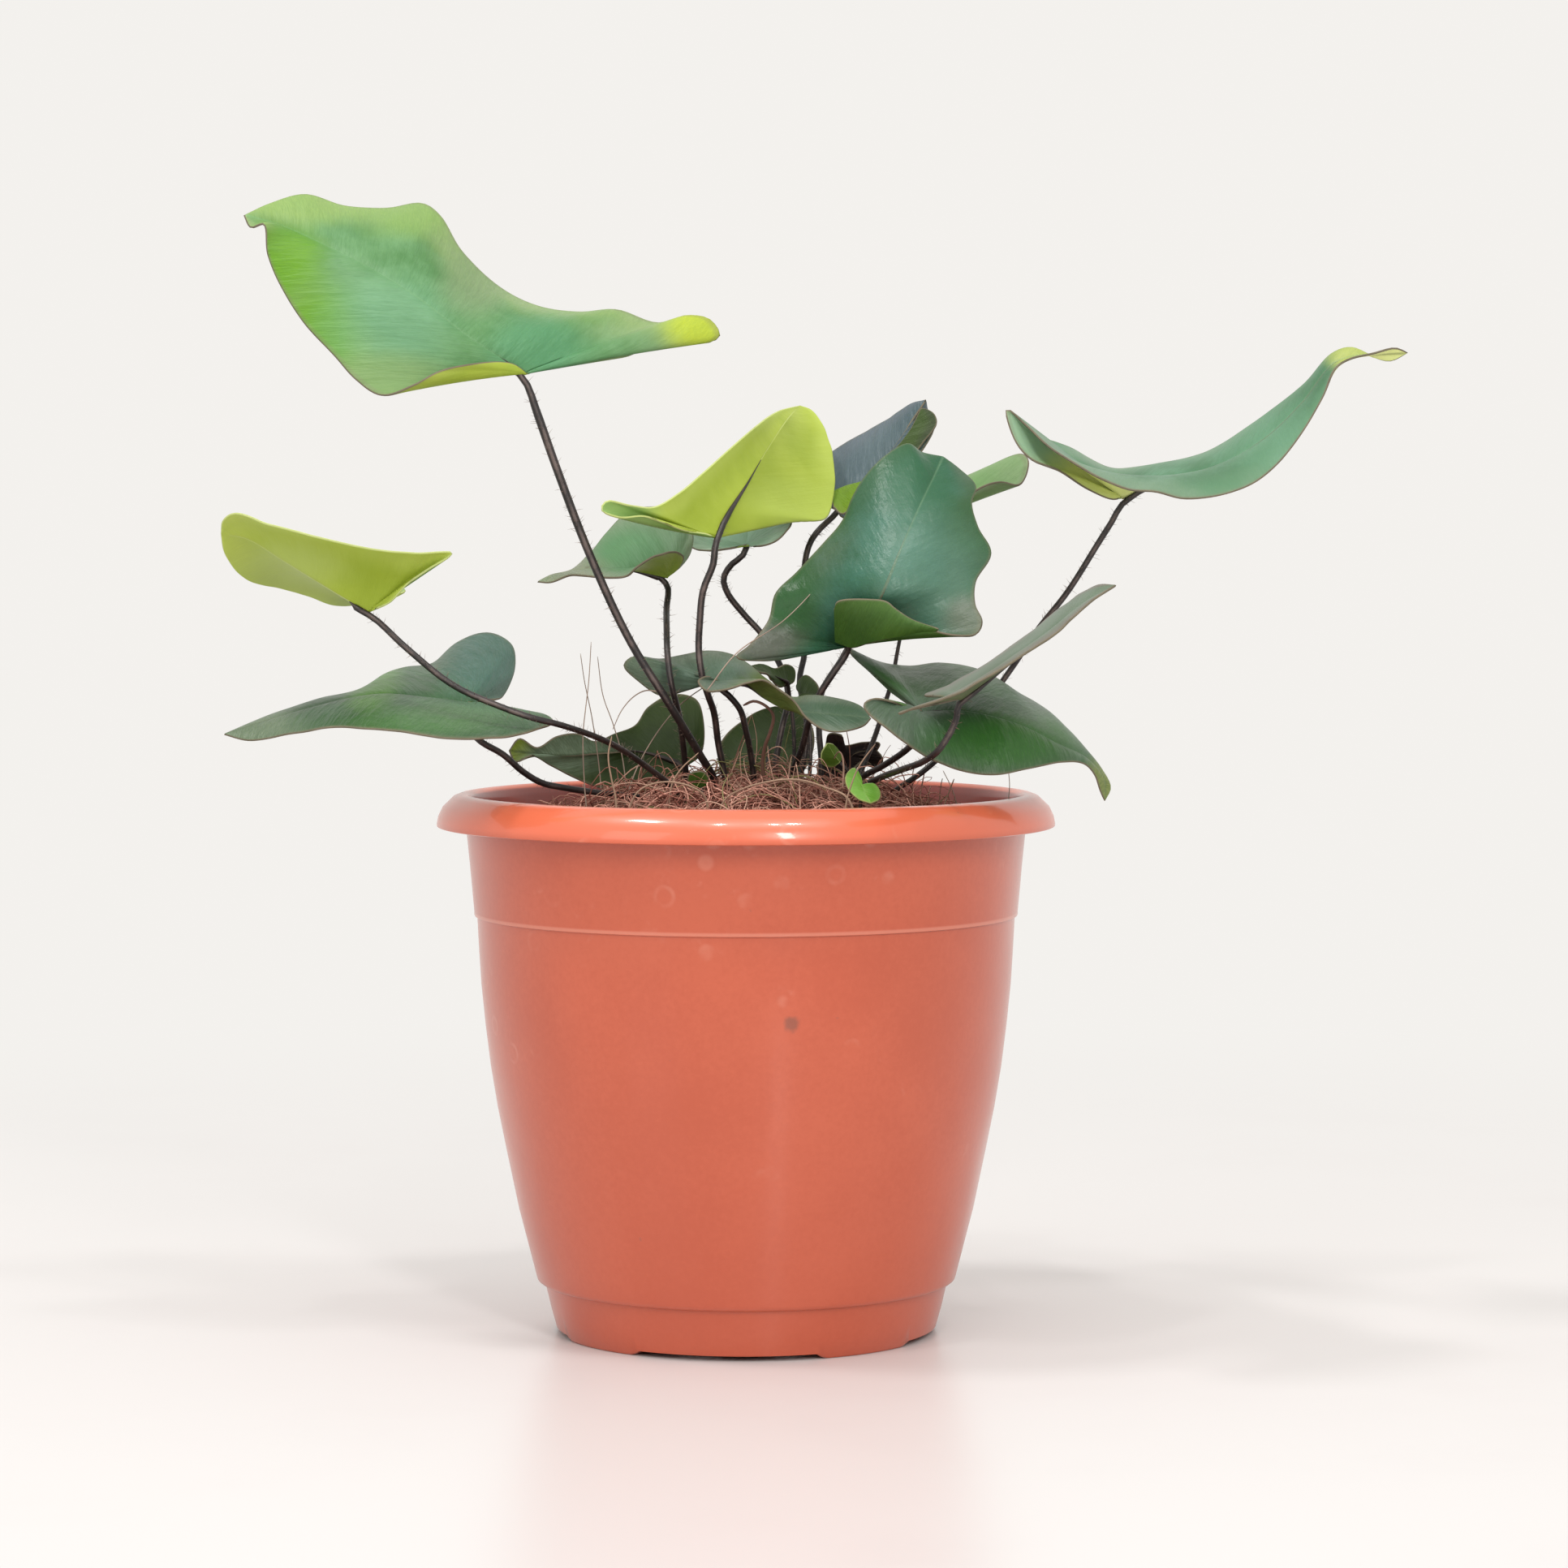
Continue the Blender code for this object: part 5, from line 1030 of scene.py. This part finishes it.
frond(
    "back_right", (back_green, back_green), thin=0.62, bulge=0.6,
    stipe=[(29, 159.4, 24), (27, 153, 22), (24, 147, 20), (20, 139, 16), (15.5, 131.5, 13), (15, 124, 11),
        (15.5, 116, 8), (14.5, 109, 7), (13, 102, 7)],
    midrib=[(29, 161.2, 25), (30, 167.4, 31), (31, 176.6, 40)],
    left=[(27, 159.4, 28), (24.4, 160.6, 33), (23.6, 165.4, 36), (25, 171, 38), (28, 175, 40)],
    right=[(33, 159.4, 21), (40, 165, 15), (47, 172.8, 12), (52, 174.8, 12), (56.2, 174.1, 12),
        (57.9, 178.6, 14), (56.6, 180.3, 16), (50, 178, 21), (44, 175.4, 27), (37, 176.4, 34)],
)

slim_upper = blade_skin(
    "slim frond upper side", (108, 124, 106), (94, 110, 90), (112, 106, 96), 0.5,
    painted_sheen=(122, 122, 108), painted_sheen_share=0.7, relief=0.0, net=0.0, streaks=0.1, glow=0.0,
)
slim_under = blade_skin(
    "slim frond underside", (106, 118, 84), (90, 104, 70), (110, 112, 92), 0.5,
    painted_sheen=(124, 120, 104), painted_sheen_share=0.6, vein=(84, 86, 60), roughness=0.5, relief=0.0, net=0.0,
    streaks=0.1, glow=0.0,
)
frond(
    "slim_right", (slim_upper, slim_under), thin=0.62, bulge=0.6,
    stipe=[(43.6, 128.8, -49), (43.3, 126.4, -48), (41.8, 123, -47), (39.5, 119.6, -46), (36.5, 117.4, -42),
        (32, 115.7, -34), (27.5, 114, -24), (24, 112, -16), (20.5, 108.4, -9), (18, 103.5, -5)],
    midrib=[(44.2, 130.4, -49), (52, 136.3, -49), (61, 142.9, -48), (69, 149.5, -46), (75.8, 153.5, -42)],
    left=[(42, 130.7, -43), (38, 130.9, -36), (37, 131, -31), (42, 133.3, -27), (50, 137.8, -25),
        (58, 143.4, -26), (66, 149.8, -31), (72, 153.4, -37)],
    right=[(41, 129.6, -53), (36, 128.6, -58), (31.4, 127.3, -63), (35, 128.3, -68), (43, 131.2, -71),
        (50, 134.8, -70), (57, 139.2, -67), (64, 144, -61), (70.4, 149.9, -52)],
)

# The upright frond at the back: a firm blade on a dark stipe, its face painted slate-grey as a sheen over its
# green. Two parts of its lobes are folded over to the front, and show a bright underside and a dark green
# one.
# Painted sheen: the slate colour stands for the upper side seen at a grazing angle.
slate_sheen_face = blade_skin(
    "slate upper side", (88, 106, 112), (76, 94, 100), (88, 100, 108), 0.5,
    painted_sheen=(106, 116, 124), painted_sheen_share=0.5, streaks=0.5, roughness=0.38, spots=[
        ((36, 184, 30), (2, 4), (70, 96, 60), 0.5),
    ],
)
bright_under = blade_skin(
    "bright underside", (104, 138, 18), (84, 116, 12), (112, 136, 30), 0.5,
    streaks=0.25, roughness=0.5,
)
frond(
    "back_upright", (slate_sheen_face, bright_under), thin=0.62, bulge=0.6,
    stipe=[(17.6, 167.4, 29), (15.6, 165.6, 29), (13.4, 162.8, 28), (12.2, 159, 27), (12, 152, 24),
        (12, 145, 21), (12, 139.5, 19), (11, 134, 17), (12.4, 126, 14), (12, 118, 11), (9.5, 110, 9.5),
        (7, 102, 9)],
    midrib=[(18.4, 169.2, 30), (24.5, 175, 30), (30.5, 182, 31), (36.8, 191.4, 33)],
    left=[(15.5, 170.5, 34), (12.5, 174, 39), (14, 178.4, 43), (17.5, 180.8, 43), (23, 184, 41),
        (29, 187.4, 38), (34, 190.7, 35)],
    right=[(20.2, 167.4, 27), (25, 168, 25), (30, 172, 26), (35, 179.6, 29), (38.2, 185, 32),
        (38.5, 187.6, 34), (37.2, 189.4, 35)],
)
flap("back_upright_lobe", (bright_under, bright_under),
     [(17.6, 172.6, 24), (20.4, 173.8, 24), (23.4, 174.6, 22), (27, 175.4, 22)],
     [(18, 169.6, 18), (19.8, 168.2, 16), (22.4, 170, 16), (25, 172.6, 17), (27.4, 174.8, 19)])
fold_skin = blade_skin(
    "folded lobe underside", (72, 104, 26), (56, 78, 28), (48, 60, 32), 0.5,
    streaks=0.3, roughness=0.5,
)
flap("back_upright_fold", (fold_skin, fold_skin),
     [(30.4, 181.2, 30.4), (31.8, 182.7, 30.4), (32.6, 183.7, 30.6), (34, 185.7, 31), (35.2, 188.1, 31.6),
      (35.9, 189.6, 32)],
     [(34.6, 180.6, 28.4), (35.4, 181.7, 28.6), (36.5, 183.2, 29), (37.9, 184.9, 29.6), (38.8, 186.3, 30.4),
      (38.9, 187.5, 31), (38.3, 188.7, 31.4), (37.2, 189.4, 31.8), (36.2, 189.7, 32)], 0.3)

# Dark fronds: the oldest and thickest blades. The big one in the middle is waved along its edge and shows
# its midrib and the vein of each lobe; the two low ones reach out over the rim.
dark_upper = blade_skin(
    "dark upper side", (62, 112, 94), (42, 88, 60), (54, 94, 60), 0.5,
    painted_sheen=(106, 114, 104), painted_sheen_share=0.4, vein=(112, 148, 112), vein_share=0.4, roughness=0.33,
    relief=0.6, streaks=0.14, ribbed=0.07, net=0.1, shade=0.8, spots=[
        ((34.5, 174, -8), (7, 7), (44, 96, 62), 0.9), ((8.6, 150.5, -18), (6.5, 10), (42, 86, 42), 1.0),
        # Painted sheen: the spots at (31, 164) and (38, 156).
        ((46, 166, -14), (5, 8), (52, 94, 52), 0.7), ((31, 164, -20), (7, 13), (90, 132, 114), 0.35),
        ((38, 156, -22), (9, 11), (108, 148, 130), 0.5), ((2.6, 141.6, -20), (8, 3.8), (92, 94, 84), 0.9),
        ((46, 147, -28), (5, 4), (106, 114, 98), 0.8),
    ],
)
dark_under = blade_skin(
    "dark underside", (72, 108, 38), (56, 90, 32), (76, 110, 46), 0.6,
    vein=(60, 84, 36), streaks=0.25, roughness=0.5,
)
frond(
    "big_centre", (dark_upper, dark_under), bulge=1.2,
    stipe=[(20.4, 139.2, -14), (18.2, 136, -14), (15, 131, -13), (13, 126, -11), (11.4, 120, -8),
        (8.5, 113, -4.5), (6.4, 107.5, -2.5), (5, 102, -2)],
    midrib=[(20.6, 141, -14), (24, 146.4, -22), (27.6, 151.3, -28), (31.4, 160, -25), (35.5, 169.5, -17),
        (40.4, 179.8, -4)],
    left=[(17, 141.4, -14), (12, 140.4, -17), (8, 138.6, -20), (3, 138.2, -23), (-2, 138.8, -25),
        (1, 141.4, -22), (4.8, 146.5, -18), (6.2, 152, -16), (10.5, 156.2, -14), (15.5, 161.5, -12),
        (20, 167, -11), (22.2, 172, -10), (25.6, 177.2, -9), (33, 182.5, -6), (36, 180.7, -4)],
    right=[(26, 142.6, -16), (31, 144, -20), (36, 145.2, -26), (40, 143.8, -30), (44, 143.2, -31),
        (47, 143.5, -30), (48.4, 146, -28), (46.9, 149.6, -25), (47, 154.4, -21), (50.2, 160.4, -16),
        (47.4, 165.6, -14), (46.2, 170.4, -12), (47, 174, -8), (43.6, 177.4, -6)],
)
flap("big_centre_lobe", (dark_under, dark_under),
     [(18.4, 142, -20), (21.6, 140.9, -23), (25.1, 141.8, -27), (28.6, 142.6, -30), (32, 143.3, -31.4),
      (36, 144.1, -32.4), (39, 144.2, -32.8)],
     [(18.2, 148.6, -25), (19, 150.2, -27), (25.1, 150.6, -30.4), (28.8, 150.1, -32), (30.6, 148.7, -32.6),
      (34, 146.5, -33), (39.4, 144.6, -33)], 1.0)

low_upper = blade_skin(
    "low frond upper side", (76, 114, 78), (52, 90, 50), (68, 100, 66), 0.55,
    painted_sheen=(108, 120, 106), painted_sheen_share=0.7, vein=(92, 126, 88), vein_share=0.2, roughness=0.38,
    relief=0.4, shade=0.7, spots=[
        ((-74.9, 133.6, 0), (5, 4), (98, 148, 62), 0.9), ((-53.2, 139, 0), (8, 8), (94, 134, 124), 0.9),
        ((-62, 127.4, -8), (13, 2.6), (84, 132, 70), 0.8), ((-100, 125, 0), (12, 5), (126, 142, 116), 0.9),
        # Painted sheen: the two grey spots on the next line.
        ((35.1, 129, -30), (8, 5), (96, 112, 96), 0.8), ((64, 125, -20), (9, 6), (108, 122, 108), 0.8),
        ((73, 112.4, -20), (4, 5), (146, 156, 90), 0.9), ((54, 121.5, -30), (14, 5), (62, 120, 46), 0.9),
        ((38, 135, -2), (14, 3.4), (56, 92, 44), 0.85),
    ],
)
frond(
    "low_left", (low_upper, dark_under), thin=0.62, bulge=0.8,
    stipe=[(-57, 127.6, -21), (-56.6, 124, -21), (-54.6, 121.6, -20), (-50, 118.9, -18), (-46, 115.4, -16),
        (-42, 113, -14), (-38, 112.1, -12), (-30, 110.9, -8), (-22, 110, -4), (-16.5, 107.6, 2),
        (-13.5, 103.5, 6)],
    midrib=[(-57, 129.6, -21), (-66, 130.8, -24), (-76, 131.4, -26), (-90, 128.4, -28), (-107, 123, -29)],
    left=[(-53, 128.8, -22), (-46, 127.8, -24), (-41, 126.8, -27), (-39.8, 125.4, -31), (-44, 123.6, -37),
        (-52, 122.3, -43), (-62, 122.3, -47), (-72, 123.6, -47), (-84, 124.4, -43), (-94, 123, -37),
        (-102, 121.8, -32)],
    right=[(-53.5, 130, -15), (-50, 131, -6), (-47.7, 136, 0), (-48.2, 141.2, 5), (-53, 143.7, 8),
        (-59, 142, 8), (-64.2, 137.4, 6), (-70, 136.6, 3), (-74.5, 135, -2), (-79, 131.9, -8),
        (-88, 130, -16), (-98, 126.8, -24)],
)
frond(
    "big_low_right", (low_upper, dark_under), thin=0.62, bulge=1.4,
    stipe=[(36.4, 125.6, -27), (35.6, 122.6, -25), (33, 119.8, -22), (28, 116.4, -16), (24, 114.2, -11),
        (21.4, 111, -6), (19.2, 107, -2.4), (18, 102.5, 0)],
    midrib=[(36, 127.8, -29), (46, 127.6, -31), (56, 125, -30), (64, 121, -27), (70, 118, -23),
        (73.6, 113.6, -21), (73.8, 109.4, -21)],
    left=[(34, 128.9, -26), (30, 131.5, -20), (25.4, 136, -14), (21.2, 140.1, -9), (27, 138, -5),
        (33, 136.9, -3), (40, 137.6, 0), (48, 136, 0), (56, 131.4, -4), (63, 126.8, -10), (69, 120.6, -16),
        (73, 115.8, -19), (74.9, 112, -20)],
    right=[(33.5, 128.1, -32), (30, 129.7, -36), (26, 130.2, -38), (24.2, 128.8, -39), (27, 125.7, -40),
        (33, 121, -40), (38, 118, -39), (44, 115.6, -38), (51, 114.7, -38), (58, 116, -35),
        (65, 117.3, -31), (69.4, 117, -26), (71.8, 114.6, -23), (72.9, 111.5, -22)],
)

twisted_upper = blade_skin(
    "twisted frond upper side", (90, 112, 96), (68, 92, 70), (92, 108, 88), 0.55,
    painted_sheen=(126, 134, 120), painted_sheen_share=0.7, vein=(120, 136, 104), vein_share=0.2, spots=[
        ((5.4, 132.6, -24), (7, 3), (100, 118, 54), 0.9),
    ],
)
twisted_under = blade_skin(
    "twisted frond underside", (104, 124, 60), (88, 108, 50), (112, 126, 70), 0.6,
    streaks=0.25, roughness=0.5,
)
frond(
    "low_twisted", (twisted_upper, twisted_under), thin=0.6, bulge=0.3,
    stipe=[(-5.2, 132.4, -15), (-3.6, 131, -15), (-1.2, 128, -14), (0, 123.6, -12), (1, 118.6, -9),
        (1.6, 113, -7), (1.4, 107.5, -5.5), (1, 102, -4)],
    midrib=[(-6, 134, -15), (0, 133.6, -17), (4, 130.6, -19), (8, 128.4, -21), (12, 127.6, -23),
        (18, 127, -25), (25.5, 126.2, -26)],
    left=[(-9.5, 133.2, -11), (-13.5, 132, -10), (-17, 130.9, -10), (-22, 134, -9.5), (-25, 137.2, -9),
        (-23.4, 138.8, -8.5), (-17, 138.5, -7), (-8, 140.1, -4), (-3.4, 139.4, -4), (0, 137.6, -7),
        (4, 134.4, -12), (9, 130.6, -16), (13, 130.9, -18), (19, 130.2, -20), (23.6, 128.6, -23)],
    right=[(-8.4, 134.8, -20), (-9.8, 133.8, -22.5), (-8.6, 132.2, -24), (-6, 131.8, -25), (-3, 132.4, -25),
        (0.4, 133.6, -25), (3.6, 134, -25), (7, 132, -25.5), (10, 129.6, -26), (12.4, 126.4, -27),
        (16, 123.9, -28), (20, 123.6, -29), (24, 124.7, -28)],
)

# Fronds in the shade of the others, low at the back and at the crown: small, thin and deep olive, on short
# stipes. The tiniest is a round leaf that stands in the mix in front of the crown.
olive_spots = [
    ((-47.4, 120.6, 10), (3.4, 4), (128, 146, 34), 0.9), ((-37, 119.4, 10), (8, 4.5), (120, 140, 116), 0.9),
]
shade_upper = blade_skin(
    "shaded upper side", (62, 84, 46), (46, 66, 32), (60, 80, 40), 0.5,
    painted_sheen=(84, 100, 70), painted_sheen_share=0.4, spots=olive_spots,
)
shade_under = blade_skin(
    "shaded underside", (54, 74, 26), (42, 60, 20), (56, 74, 30), 0.55,
    vein=(50, 62, 28), streaks=0.3, roughness=0.5, spots=olive_spots,
)
frond(
    "low_back_left", (shade_upper, shade_under), thin=0.62, bulge=0.6,
    stipe=[(-11.8, 114.6, 14), (-9.6, 109.5, 12), (-7, 103, 9)],
    midrib=[(-12.6, 116.4, 15), (-22, 119.2, 16), (-30, 119, 12), (-38, 118.6, 8), (-48.6, 119.6, 4)],
    left=[(-9.4, 119, 18), (-8.8, 125, 21), (-10.5, 130.2, 23), (-15, 131, 24), (-20, 128.5, 24),
        (-22.6, 124.8, 22), (-27, 123, 18), (-31, 121.4, 13), (-35, 123, 9), (-39, 122.4, 7),
        (-43, 120.2, 5.5), (-46.6, 122, 4.5)],
    right=[(-13, 113.4, 14), (-18, 112, 13), (-25, 111, 12), (-31, 112.4, 11), (-36, 114.5, 9.5),
        (-40, 116.6, 8), (-44, 118.6, 5), (-47.4, 117.4, 4)],
)
frond(
    "low_back_centre", (shade_upper, shade_under), thin=0.62, bulge=0.8,
    stipe=[(4, 113.2, 14), (3.4, 109, 11.5), (2.6, 103, 10)],
    midrib=[(4, 115, 15), (5, 121, 20), (6, 128.6, 27)],
    left=[(8, 113.6, 14), (12, 116, 15), (13.8, 120.6, 18), (13.2, 125, 21), (10, 127.6, 25)],
    right=[(0, 113.8, 14), (-4.6, 115.2, 15), (-5.6, 119.4, 17), (-4, 122.8, 20), (-0.4, 125.8, 23),
        (3, 127.8, 26)],
)
frond(
    "small_olive", (shade_upper, shade_under), bulge=0.6, radius=0.6,
    stipe=[(8.8, 131.6, 2), (9.6, 126, 3), (9.9, 119, 3), (9.6, 112, 2.5), (9, 103, 2.5)],
    midrib=[(8.4, 133.2, 2), (6, 134.6, -0.5), (3.4, 136, -2.6), (0.8, 136.9, -4)],
    left=[(9.8, 134, 3.6), (9.8, 136.4, 4.4), (8.2, 137.2, 3.4), (6, 136.4, 1.4), (3.4, 137.3, 0)],
    right=[(6.8, 132.8, 0), (5.2, 134.2, -2), (4.2, 135.4, -4), (2.4, 135.8, -5)],
)
frond(
    "small_dark", (shade_under, shade_upper), bulge=0.5, radius=0.6,
    stipe=[(11.6, 129.6, 4.6), (13, 124, 5), (13.2, 117, 3.5), (12.6, 110, 2.5), (12, 103, 2)],
    midrib=[(11.4, 131.2, 4.6), (13, 131.4, 2.6), (15.3, 131.2, 0)],
    left=[(10.4, 132.8, 6.5), (12, 135, 6), (14.2, 133.6, 3.6)],
    right=[(10.8, 130.4, 2.4), (12.4, 129.6, 0.6), (14.4, 130.2, -0.8)],
)
frond(
    "tiny_leaf", (dark_under, dark_under), bulge=0.3, radius=0.45,
    stipe=[(-9, 111.2, -12), (-8.6, 107, -12), (-8.4, 102, -12)],
    midrib=[(-9.2, 112.2, -12), (-9.8, 113.6, -13), (-10.6, 115.2, -14)],
    left=[(-10.6, 112, -12.4), (-11.8, 113.2, -13.2), (-11.7, 114.6, -13.8)],
    right=[(-8.2, 112.6, -12), (-7.9, 114, -12.8), (-9, 115.2, -13.6)],
)

# Seedling blades beside the crown: bright green, thin and soft, on fine stipes. The withered frond next to
# them is dry, crumpled and dark brown.
seedling_skin = blade_skin(
    "seedling skin", (126, 180, 66), (104, 162, 52), (136, 184, 84), 0.6,
    vein=(156, 196, 104), vein_share=0.3, vein_width=0.4, streaks=0.2, roughness=0.45, margin_share=0.0,
)
dull_seedling = blade_skin(
    "dull seedling skin", (96, 128, 34), (80, 112, 28), (104, 130, 48), 0.6,
    streaks=0.2, roughness=0.5, margin_share=0.0,
)
frond(
    "seedling", (seedling_skin, seedling_skin), rim=young_margin, bulge=0.4, radius=0.5,
    stipe=[(23.8, 111.2, -25.6), (23.4, 107, -25), (23.2, 97, -25)],
    midrib=[(23.8, 112.4, -26), (24.4, 110.8, -27.5), (25.6, 108.8, -29)],
    left=[(24.8, 112.7, -25), (26.4, 112.6, -25), (27.4, 111.2, -26), (27.2, 109.6, -27.6)],
    right=[(23.5, 114.2, -25), (22.2, 115.9, -24.6), (20.7, 114.5, -25), (20.9, 112.2, -26.4),
        (23, 109.8, -28)],
)
frond(
    "small_light", (dull_seedling, dull_seedling), rim=young_margin, bulge=0.3, radius=0.5,
    stipe=[(20, 116.4, 0), (21.2, 114.8, 0), (21.3, 111.6, -0.4), (21, 107.4, -0.4), (20.8, 103, -0.4)],
    midrib=[(19.2, 117.3, 0), (18, 118.8, -0.8), (16.7, 121, -1)],
    left=[(17.8, 116.4, -0.6), (15.8, 117, -1.4), (15.6, 119, -1.6)],
    right=[(19.6, 118.4, 0.8), (18.8, 119.8, 0.6), (17.8, 120.8, -0.2)],
)
withered_skin = blade_skin(
    "withered skin", (50, 36, 34), (30, 22, 22), (64, 46, 42), 0.6,
    streaks=0.8, roughness=0.8, margin_share=0.0, relief=1.0,
)
frond(
    "withered", (withered_skin, withered_skin), bulge=-1, radius=0.6,
    stipe=[(19.6, 111.2, 10.6), (18.6, 107.5, 10), (17.4, 103, 10)],
    midrib=[(19.6, 112.6, 11), (20.2, 116, 12.4), (22.4, 119, 12), (26.8, 119.6, 10)],
    left=[(16.6, 112.2, 10), (14.4, 113.6, 11.5), (15.8, 117, 14), (16.4, 120.4, 13), (17.2, 123, 11),
        (19.5, 122.8, 10), (20.2, 120.6, 13), (24, 121.2, 12), (27.4, 121, 10)],
    right=[(22, 112.8, 9.5), (22.4, 116, 9), (24.4, 117.4, 11), (27.4, 115.8, 10), (28, 118, 8.5)],
)

# Stalks without a blade: a broken stipe and a bent brown petiole left from older fronds.
# Dry straws and rootlets lie on the mix or stand in it.
STRAW_THIN = 0.45
STALK_STEPS = 48
petiole_skin = plain_skin("brown petiole", 0.6, 260.0, (72, 50, 44), (134, 100, 84))
straw_skin = plain_skin("dry straw", 0.8, 200.0, (124, 96, 80), (184, 156, 132), 4.0, 0.25)


def bare_stalk(name, skin, radius, stalk_points, replaced=None, crook=0.0):
    """A bare stalk: a round tube along a smooth curve with a few crooks in it, thinner at its first point."""
    path = smooth_curve(seen(stalk_points), STALK_STEPS)
    s = np.linspace(0, 1, STALK_STEPS)
    wander = np.random.default_rng(len(name) + int(10 * stalk_points[0][1]))
    for k in (1, 2, 3, 5):
        path += (crook / k * np.sin(k * math.pi * s) * np.sin(math.pi * s))[:, None] * wander.normal(0, 1, 3)
    radii = radius * np.linspace(0.6, 1.15, STALK_STEPS)
    radii[0] = 0.3 * radius
    points, faces = tubes(path[None], radii[None], 8)
    piece = mesh_piece(name, points, faces, [skin])
    mark_front_highlight(piece, points, path)
    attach(piece, "root")
    if replaced is not None:
        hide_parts(replaced)
    return path, radii


BARE_STALKS = {
    "broken_stipe": ("stipe", 0.95, [(31.8, 143.6, 4), (31, 139.5, 4), (30, 134, 4.5), (28.8, 130, 5),
        (27.2, 124.6, 5), (25.4, 119.6, 4), (23.4, 114.6, 2.8), (23, 109, 2), (23, 103, 1.5)]),
    "bent_petiole": ("petiole", 0.7, [(-0.6, 128.9, -17.5), (1.6, 129.8, -17.6), (4.2, 128.7, -17.4),
        (5.6, 126.8, -16.8), (5, 123.6, -15.4), (3.9, 120.6, -13.6), (3.4, 116.6, -11), (3.9, 112, -9),
        (4.6, 107.5, -7.5), (4.6, 103, -7)]),
    "straw_upright": ("straw", 0.5, [(-27.6, 122.6, -30), (-28.4, 118.6, -30), (-28.1, 113, -30),
        (-27.2, 108, -30), (-27, 95, -30)]),
    "straw_front_arc": ("straw", 0.5, [(-6.4, 98, -26), (-5, 109.4, -26.6), (-1, 112.4, -28),
        (4, 113.7, -28), (10, 113.9, -28), (16, 112.5, -27.6), (21, 110, -30), (23.6, 96, -31)]),
    "straw_left_arc": ("straw", 0.5, [(-26.4, 97, -25), (-23.4, 111, -25.4), (-18, 113.4, -26),
        (-12, 112.2, -26), (-8.4, 109.4, -25), (-8.6, 98, -23.4)]),
    "straw_leaning": ("straw", 0.45, [(-9.8, 119.2, -20.6), (-12.6, 116.2, -21), (-14.2, 112.4, -21),
        (-14.8, 108, -21), (-15, 98, -21)]),
    "straw_pair": ("straw", 0.45, [(26.6, 121, -33), (24, 117.4, -33.4), (22, 114, -34), (20.6, 109, -34),
        (20, 95, -34)]),
    "straw_right": ("straw", 0.45, [(42.8, 113.8, -20), (41.8, 111.2, -20), (40.8, 107.5, -20),
        (40.2, 95, -20)]),
}
for name, (slot, radius, stalk_points) in BARE_STALKS.items():
    skin = {"stipe": stipe_skin, "petiole": petiole_skin, "straw": straw_skin}[slot]
    thin, crook = (STRAW_THIN, 0.45) if slot == "straw" else (STIPE_THIN, 0.0)
    path, radii = bare_stalk("loose_" + name, skin, radius * thin, stalk_points, name, crook)
    if slot == "stipe":
        hair_feet.append((path, radii))

# Rootlets: hair-thin, stiff and woody, of a dull pale brown. Some stand free of the mix and some are
# arched over it.
rootlet_skin = plain_skin("rootlet", 0.7, 150.0, (112, 92, 82), (180, 160, 144))
ROOTLETS = [
    [(-27.4, 124, -12), (-25.5, 128, -12), (-23, 130.8, -12), (-20.5, 132, -12), (-17.6, 131.6, -12.4)],
    [(-31.8, 142, -16), (-32.3, 134, -16), (-33, 128, -16), (-33.5, 123, -16), (-33.2, 112, -16),
     (-32, 100, -16)],
    [(-34, 139.6, 6), (-33.2, 134, 6), (-31.6, 126, 6), (-30, 114, 6), (-29.5, 101, 6)],
    [(-30.5, 139, 2), (-29.4, 131, 2), (-27.3, 125, 2), (-25.4, 118, 2), (-24, 102, 2)],
    [(40.5, 115.5, 4), (42, 112.5, 2), (43.2, 109, 0), (43.6, 100, 0)],
    [(54, 115.4, 6), (54.2, 112, 6), (53.4, 106, 5), (52, 98, 4)],
    [(12.5, 151, 2), (4, 143.4, 0), (-6, 134.6, -2), (-14, 128.6, -4), (-22, 117, -6), (-27, 101, -8)],
    [(18, 157, -16.4), (8, 146.6, -22), (-2, 139.6, -27), (-8, 132, -29)],
]
for number, rootlet in enumerate(ROOTLETS):
    bare_stalk(f"rootlet_{number}", rootlet_skin, 0.13, rootlet)

# Hairs: short, fine and spreading, along every stipe, as this fern has. They are brown, and each tapers
# from its foot on the stipe to a point.
HAIRS_PER_MM = 2.4
draw = np.random.default_rng(17)
feet_points, feet_ways = [], []
for path, radii in hair_feet:
    step = np.linalg.norm(np.diff(path, axis=0), axis=1)
    number = int(step.sum() * HAIRS_PER_MM)
    place = draw.random(number) * (len(path) - 1)
    middle = np.stack([np.interp(place, np.arange(len(path)), path[:, a]) for a in range(3)], axis=1)
    ahead = unit(np.gradient(path, axis=0)[np.round(place).astype(int)])
    out = draw.normal(0, 1, (number, 3))
    out -= (out * ahead).sum(axis=1, keepdims=True) * ahead
    out = unit(out)
    feet_points.append(middle + out * (np.interp(place, np.arange(len(path)), radii) - 0.05)[:, None])
    feet_ways.append(out + 0.45 * ahead + draw.normal(0, 0.25, (number, 3)))
foot, way = np.concatenate(feet_points), np.concatenate(feet_ways)
way = unit(way)
s = np.linspace(0, 1, 3)[None, :, None]
long = draw.uniform(0.5, 1.5, (len(foot), 1, 1))
paths = foot[:, None, :] + way[:, None, :] * s * long + draw.normal(0, 0.12, (len(foot), 1, 3)) * s**2
points, faces = tubes(paths, np.broadcast_to(np.array([0.045, 0.035, 0.012]), (len(foot), 3)), 3)
hair_skin = plain_skin("stipe hair", 0.6, 500.0, (92, 72, 64), (164, 142, 126))
hairs = mesh_piece("stipe_hairs", points, faces, [hair_skin])
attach(hairs, "root")
